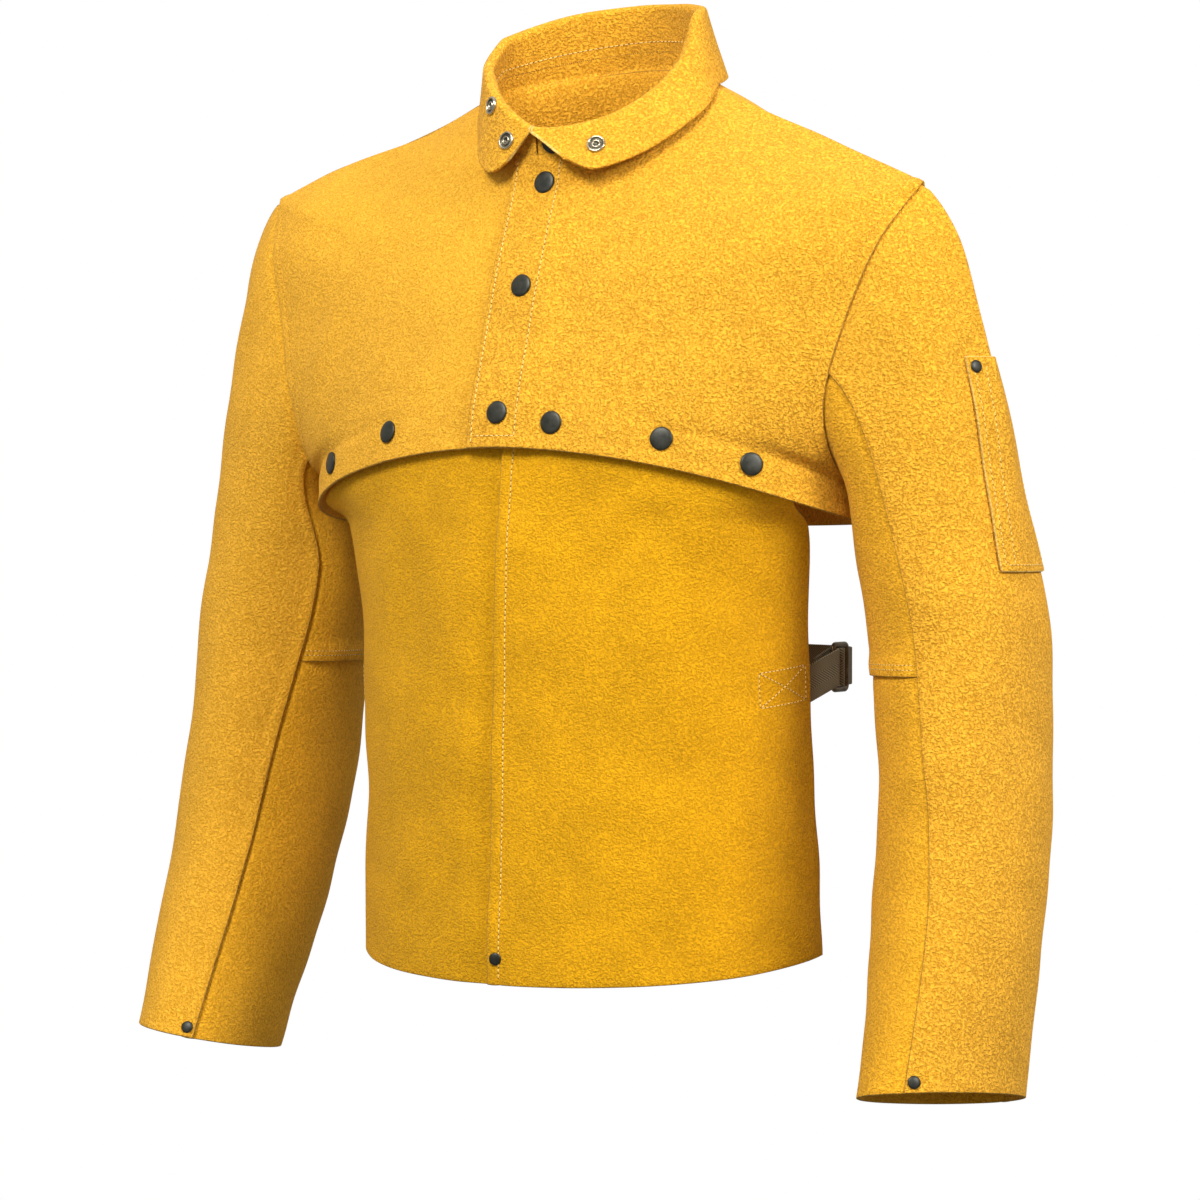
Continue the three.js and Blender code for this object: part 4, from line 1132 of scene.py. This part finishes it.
# Bib stitches: the centre seam, and the crossed box over each end of the strap
BIB_STITCH_OFF = 8.6
BOX_NEAR = 0.775
BOX_FAR = 0.975
BOX_HALF = 12
BOX_RISE = 5
BOX_CORNERS = [(-BOX_HALF, BOX_NEAR), (-BOX_HALF - BOX_RISE, BOX_FAR), (BOX_HALF - BOX_RISE, BOX_FAR),
               (BOX_HALF, BOX_NEAR)]
BOX_LINES = [(0, 1), (1, 2), (2, 3), (3, 0), (0, 2), (1, 3)]

at = np.linspace(1.0, BIB_END - 0.03, 400)
bib_runs = [stitch_line("bib_left", *bib_run(at, bib_seam(at) + BIB_STITCH_OFF / BIB_GIRTH))]
for host, sense in (("bib_left", 1), ("bib_right", -1)):
    corners = np.array([(bib_at_drop(STRAP_DROP + down, sense * across), sense * across)
                        for down, across in BOX_CORNERS])
    for first, second in BOX_LINES:
        path = mix(corners[first], corners[second], np.linspace(0.02, 0.98, 30)[:, None])
        bib_runs.append(stitch_line(host, *bib_run(path[:, 0], path[:, 1]), pitch=3.0, length=2.3, radius=0.33))
sew("bib_stitches", bib_runs)

# Pocket stitches: two rows along the front edge, one at the rear edge and one along the foot
POCKET_STITCH_OFF = 4.0
POCKET_SECOND_ROW = 13.0


def pocket_stitches(share, across, sink=0.15):
    run = sleeve_run("left", *pocket_place(share, across))
    return stitch_line("pen_pocket", *run, radius=0.3, sink=sink)


run = np.linspace(0.04, 1, 150)
foot = 1 - POCKET_STITCH_OFF / POCKET_HEIGHT
rear = 1 - POCKET_STITCH_OFF / POCKET_WIDTH
sew("pocket_stitches", [
    pocket_stitches(run * foot, POCKET_STITCH_OFF / POCKET_WIDTH),
    pocket_stitches(run * foot, POCKET_SECOND_ROW / POCKET_WIDTH),
    pocket_stitches(run * foot, rear),
    pocket_stitches(foot, mix(0.06, 0.94, run), sink=0.0),
])


# The stitched row inside the collar's back, and the sunk seam below it, by level up the section
def collar_level(turns, level):
    sections = collar_section(turns)
    below = int(level)
    return mix(sections[:, below], sections[:, below + 1], level - below)


COLLAR_ROWS = [(4.6, dict(pitch=3.0, length=1.4, radius=0.3, sink=0.45)), (7.4, dict(sink=0.05))]
turns = np.concatenate([np.linspace(-0.34, -0.999, 160), np.linspace(0.999, 0.34, 160)])
collar_runs = []
for level, style in COLLAR_ROWS:
    points = collar_level(turns, level)
    collar_runs.append(stitch_line("collar", points, unit(-points * (1, 1, 0)), **style))
sew("collar_stitches", collar_runs)

# Fasteners: turned shapes seated on the finished leather, each profile as (radius, height)
SIDES = 56
HEAD_LIFT = 0.2
CAP = [(7.6, -0.6), (7.9, 0.1), (8.0, 0.45), (7.9, 0.85), (7.5, 1.2), (6.5, 1.5), (4.6, 1.75),
       (2.3, 1.88), (0.0, 1.92)]
RIVET = [(4.1, -0.6), (4.3, 0.1), (4.4, 0.35), (4.25, 0.75), (3.6, 1.15), (2.3, 1.45), (1.1, 1.55),
         (0.0, 1.6)]
SOCKET = [(6.3, -0.6), (6.55, 0.1), (6.6, 0.7), (6.35, 1.35), (5.9, 1.7), (5.4, 1.7), (5.0, 1.35),
          (4.75, 0.7), (4.3, 0.4), (3.5, 0.4), (3.2, 0.8), (3.05, 1.3), (2.7, 1.6), (2.2, 1.55),
          (1.9, 1.1), (1.75, 0.5), (0.0, 0.4)]
# The socket's groove and centre hollow take the near-black nickel, as painted shade
SOCKET_PAINTED_SHADE = {6, 7, 8, 9, 14, 15}


def turned(name, node_name, host, point, way, profile=RIVET, materials=(cap_black,), dark=()):
    place, normal = landed(host, np.array([point]), np.array([unit(way)]))
    place, normal = place[0], normal[0]
    side = unit(np.cross(normal, UP + (0.1, 0, 0)))
    other = np.cross(normal, side)
    points, faces, slots = [], [], []
    for radius, up in profile[:-1]:
        for angle in np.linspace(0, 2 * math.pi, SIDES, endpoint=False):
            flat = side * math.cos(angle) + other * math.sin(angle)
            points.append(place + flat * radius + normal * (up + HEAD_LIFT))
    points.append(place + normal * (profile[-1][1] + HEAD_LIFT))
    last = len(profile) - 2
    # Rings listed in dark take the second material, which on a socket is the painted shade in its hollows
    for ring in range(last):
        faces += band(ring * SIDES, (ring + 1) * SIDES, SIDES)
        slots += [int(ring in dark)] * SIDES
    faces += [(last * SIDES + i, last * SIDES + (i + 1) % SIDES, len(points) - 1) for i in range(SIDES)]
    slots += [int(last in dark)] * SIDES
    faces.append(tuple(range(SIDES))[::-1])
    slots.append(0)
    cape_piece(name, np.array(points), faces, materials, slots, stands_for=node_name)


def front_normal(row, out):
    way = front_run(row, abs(out) * HEM_HALF)[1]
    return way * ((-1, 1, 1) if out < 0 else (1, 1, 1))


for i, (row, out) in enumerate(PLACKET_SNAPS):
    turned(f"placket_cap_{i + 1}", f"placket_snap_{i + 1}", "front_left", placket_caps[i],
           front_normal(row, out), CAP)
for i, (row, out) in enumerate(BIB_SNAPS):
    turned(f"bib_cap_{i + 1}", f"bib_snap_{i + 1}", "front_left" if out > 0 else "front_right", bib_caps[i],
           front_normal(row, out), CAP)

# The collar's fasteners, as (place round it, share of its fall or stand)
COLLAR_SOCKETS = [(-0.15, 0.06), (-0.045, 0.36), (0.135, 0.5)]
COLLAR_SNAP = (0.05, 0.55)
fall_start = COLLAR_PARTS[0] + COLLAR_PARTS[1]


def collar_place(around, level):
    line = collar_level(np.array([around - 0.004, around, around + 0.004]), level)
    section = collar_section(np.array([around]))[0]
    down = section[int(level) + 1] - section[int(level)]
    way = unit(np.cross(line[2] - line[0], down))
    return line[1], way if way @ (line[1] * (1, 1, 0)) > 0 else -way


for i, (around, down) in enumerate(COLLAR_SOCKETS):
    turned(f"collar_ring_{i + 1}", f"collar_socket_{i + 1}", "collar",
           *collar_place(around, fall_start + down * COLLAR_PARTS[2]), SOCKET, [nickel, nickel_painted_shade], SOCKET_PAINTED_SHADE)
around, up = COLLAR_SNAP
turned("collar_cap", "collar_snap", "collar", *collar_place(around, up * COLLAR_PARTS[0]), CAP)

CUFF_RIVET_AT = 3.95
BIB_RIVET_AT = 4.86
RIVET_INSET = 6.5
POCKET_RIVET_INSET = 5.0
for side in ("left", "right"):
    front_seam = read(SLEEVE_SEAMS[side], CUFF_RIVET_AT)["front"]
    turned(f"{side}_cuff_rivet_head", f"{side}_cuff_rivet", f"{side}_sleeve_outer",
           *sleeve_run(side, CUFF_RIVET_AT, front_seam - RIVET_INSET / SLEEVE_GIRTH))
turned("bib_rivet_head", "bib_rivet", "bib_left",
       *bib_run(BIB_RIVET_AT, bib_seam(BIB_RIVET_AT) + RIVET_INSET / BIB_GIRTH))
around = POCKET_FRONT_TOP - POCKET_RIVET_INSET / SLEEVE_GIRTH
turned("pocket_rivet_head", "pocket_rivet", "pen_pocket",
       *sleeve_run("left", sleeve_at_drop(POCKET_DROP + RIVET_INSET, around), around))


# Waist strap
def strap_point(x, y):
    x, y = paired(x, y)
    return vec(x, y, -STRAP_DROP + STRAP_RISE * ease(-BIB_DEPTH / 6, BUCKLE_PLACE / 2, y))


def inside_bib(across, inset):
    step = 0.004
    at = bib_at_drop(STRAP_DROP, across)
    point = bib_point(at, across)
    over = bib_point(at, across - step) - point
    down = bib_point(at + step, across) - point
    normal = unit(np.cross(down, over))
    return strap_point(point[0] + normal[0] * inset, point[1] + normal[1] * inset)


def half_turn(y, radius):
    angle = np.linspace(0, 1, 16) * math.pi
    return strap_point(BUCKLE_SIDE + radius * np.cos(angle), y + radius * np.sin(angle))


def waist_arc(start_turn, end_turn, count, half_width):
    start = BUCKLE_PLACE + BUCKLE_LENGTH / 2 + BUCKLE_BAR
    depth = STRAP_BACK_DEPTH - start + half_width - BUCKLE_SIDE
    turn = np.linspace(start_turn, end_turn, count) * math.pi
    return strap_point(half_width * np.cos(turn), start + depth * np.sin(turn))


RIBBON_COLUMNS = 10
RIBBON_STEP = 1.6


def ribbon(name, node_name, path):
    path = np.array(path)
    path = path[np.concatenate([[True], steps_of(path) > 0.05])]
    run = np.concatenate([[0], np.cumsum(steps_of(path))])
    fine = np.linspace(0, run[-1], int(run[-1] / RIBBON_STEP))
    path = read_off(fine, run, path)
    share = np.linspace(0.5, -0.5, RIBBON_COLUMNS)
    grid = path[:, None, :] + UP * (share * STRAP_WIDTH)[None, :, None]
    inner = grid - grid_normals(grid, 1) * STRAP_THICKNESS
    points, faces, _ = wall(grid, inner, 0.8)
    flat = np.stack([np.repeat(fine, RIBBON_COLUMNS), np.tile(0.5 - share, len(fine))], 1)
    centre = (grid + inner).reshape(-1, 3) / 2
    nearest = [int(np.argmin(((centre - point) ** 2).sum(1))) for point in points[2 * len(flat):]]
    uvs = np.concatenate([flat, flat, flat[nearest]])
    piece = cape_piece(name, points, faces, [webbing], uvs=uvs, stands_for=node_name)


anchors = np.linspace(1 - STRAP_ANCHOR, 0.99, 8)
front_bar = BUCKLE_PLACE - BUCKLE_LENGTH / 2 + BUCKLE_BAR / 2
bar_radius = math.hypot(BUCKLE_BAR, BUCKLE_THICKNESS) / 2 + SEAT_GAP + 0.1 + STRAP_THICKNESS
short = [inside_bib(across, LEATHER + STRAP_INSET) for across in anchors]
short += list(half_turn(front_bar, bar_radius))
short.append(strap_point(BUCKLE_SIDE - bar_radius, front_bar - STRAP_FOLD))
ribbon("strap_short_webbing", "strap_short", short)

inner_half = BUCKLE_SIDE - BUCKLE_THICKNESS / 2 - 2 * SEAT_GAP - STRAP_THICKNESS
tail_half = inner_half - SEAT_GAP - 0.1
turn_radius = SLIDE_RADIUS + SEAT_GAP
long = [inside_bib(-across, LEATHER + STRAP_INSET + STRAP_THICKNESS) for across in anchors]
long += list(waist_arc(1, 0, 90, inner_half))
long.append(strap_point(inner_half, BUCKLE_PLACE + BUCKLE_LENGTH / 2 - BUCKLE_BAR - SEAT_GAP))
angle = np.linspace(0.2, 1.3, 14) * math.pi
long += list(strap_point(BUCKLE_SIDE + turn_radius * np.sin(angle), BUCKLE_PLACE + turn_radius * np.cos(angle)))
long.append(strap_point(tail_half, BUCKLE_PLACE + turn_radius))
long += list(waist_arc(0, STRAP_TAIL, 12, tail_half))
ribbon("strap_long_webbing", "strap_long", long)


# Buckle: a frame of rounded bar, and its knurled slide with bare wire ends
def swept(name, node_name, path, radii, sides, closed=True, knurl=0.0):
    path = np.array(path)
    count = len(path)
    along = unit(np.roll(path, -1, 0) - np.roll(path, 1, 0) if closed else np.gradient(path, axis=0))
    side = np.tile(np.array([1.0, 0.0, 0.0]), (count, 1))
    other = np.cross(along, side)
    turns = np.linspace(0, 2 * math.pi, sides, endpoint=False)
    grooves = 1 + knurl * np.cos(turns * sides / 2)
    points = (path[:, None] + side[:, None] * (np.cos(turns) * grooves * radii[0])[None, :, None]
              + other[:, None] * (np.sin(turns) * grooves * radii[1])[None, :, None])
    faces = []
    for ring in range(count if closed else count - 1):
        faces += band(ring * sides, (ring + 1) % count * sides, sides)
    if not closed:
        faces.append(tuple(range(sides))[::-1])
        faces.append(tuple((count - 1) * sides + i for i in range(sides)))
    cape_piece(name, points.reshape(-1, 3), faces, [bronze], stands_for=node_name)


FRAME_CORNER = 3.0
centre = strap_point(BUCKLE_SIDE, BUCKLE_PLACE)
straight_y = (BUCKLE_LENGTH - BUCKLE_BAR) / 2 - FRAME_CORNER
straight_z = (BUCKLE_HEIGHT - BUCKLE_BAR) / 2 - FRAME_CORNER
outline = []
for quarter, (cy, cz) in enumerate(((1, 1), (-1, 1), (-1, -1), (1, -1))):
    for turn in np.linspace(0, math.pi / 2, 7) + quarter * math.pi / 2:
        outline.append(centre + (0, cy * straight_y + FRAME_CORNER * math.cos(turn),
                                 cz * straight_z + FRAME_CORNER * math.sin(turn)))
swept("buckle_frame_bars", "buckle_frame", outline, (BUCKLE_THICKNESS / 2, BUCKLE_BAR / 2), 16)
heights = np.linspace(-1, 1, 24) * (BUCKLE_HEIGHT / 2 - BUCKLE_BAR - SEAT_GAP)
swept("buckle_slide_bar", "buckle_slide", [centre + UP * height for height in heights],
      (SLIDE_RADIUS, SLIDE_RADIUS), 24, closed=False, knurl=0.07)

# Stage, light and camera: the stage shows plain white and gives back only a dim light
WHITE = (1, 1, 1, 1)
STAGE_HALF = 6000
STAGE_DROP = 760
STAGE_BOUNCE = 0.3
LIGHT_ABOVE = 0.76
LIGHT_BELOW = 0.27


def seen_white(tree, output, dim):
    seen = node(tree, "ShaderNodeLightPath").outputs["Is Camera Ray"]
    white = node(tree, "ShaderNodeEmission", {"Color": WHITE, "Strength": 1.0}).outputs[0]
    both = node(tree, "ShaderNodeMixShader", {0: seen, 1: dim.outputs[0], 2: white})
    tree.links.new(both.outputs[0], tree.nodes[output].inputs["Surface"])


floor_material = bpy.data.materials.new("stage_white")
floor_material.use_nodes = True
tree = floor_material.node_tree
seen_white(tree, "Material Output", node(tree, "ShaderNodeEmission", {"Color": WHITE, "Strength": STAGE_BOUNCE}))
floor_corners = [(x * STAGE_HALF, y * STAGE_HALF, -STAGE_DROP) for x, y in ((-1, -1), (1, -1), (1, 1), (-1, 1))]
new_object("stage_floor", floor_corners, [(0, 1, 2, 3)], [floor_material])

world = bpy.data.worlds.new("studio")
bpy.context.scene.world = world
world.use_nodes = True
tree = world.node_tree
height = node(tree, "ShaderNodeSeparateXYZ", {0: coordinates(tree, "Generated")}).outputs[2]
strength = ranged(tree, height, -0.6, 0.8, LIGHT_BELOW, LIGHT_ABOVE)
seen_white(tree, "World Output", node(tree, "ShaderNodeBackground", {"Color": WHITE, "Strength": strength}))
bpy.context.scene.view_settings.view_transform = "Standard"

LIGHTS = [
    dict(name="key", place=(0.1, -2.1, 1.5), target=(0.0, 0, -0.05), size=1.0, power=70),
    dict(name="side", place=(2.7, -0.6, 1.15), target=(0.1, 0, -0.15), size=1.1, power=74),
]
for lamp in LIGHTS:
    data = bpy.data.lights.new(lamp["name"], "AREA")
    data.shape = "DISK"
    data.size = lamp["size"]
    data.energy = lamp["power"]
    light = bpy.data.objects.new(lamp["name"], data)
    bpy.context.collection.objects.link(light)
    light.location = lamp["place"]
    aim = Vector(lamp["target"]) - Vector(lamp["place"])
    light.rotation_euler = aim.to_track_quat("-Z", "Y").to_euler()

# The lens is given by how many pixels of the 1200-pixel picture a metre fills at a metre's distance
CAMERA_TURN = math.radians(32)
CAMERA_DISTANCE = 2.8
CAMERA_HEIGHT = -0.303
CAMERA_PITCH = math.radians(1.27)
SENSOR = 36
LENS_PIXELS = 3920
PICTURE_PIXELS = 1200
data = bpy.data.cameras.new("camera")
data.sensor_width = SENSOR
data.lens = SENSOR * LENS_PIXELS / PICTURE_PIXELS
camera = bpy.data.objects.new("camera", data)
bpy.context.collection.objects.link(camera)
camera.location = (CAMERA_DISTANCE * math.sin(CAMERA_TURN), -CAMERA_DISTANCE * math.cos(CAMERA_TURN), CAMERA_HEIGHT)
camera.rotation_euler = (math.pi / 2 - CAMERA_PITCH, 0, CAMERA_TURN)
bpy.context.scene.camera = camera
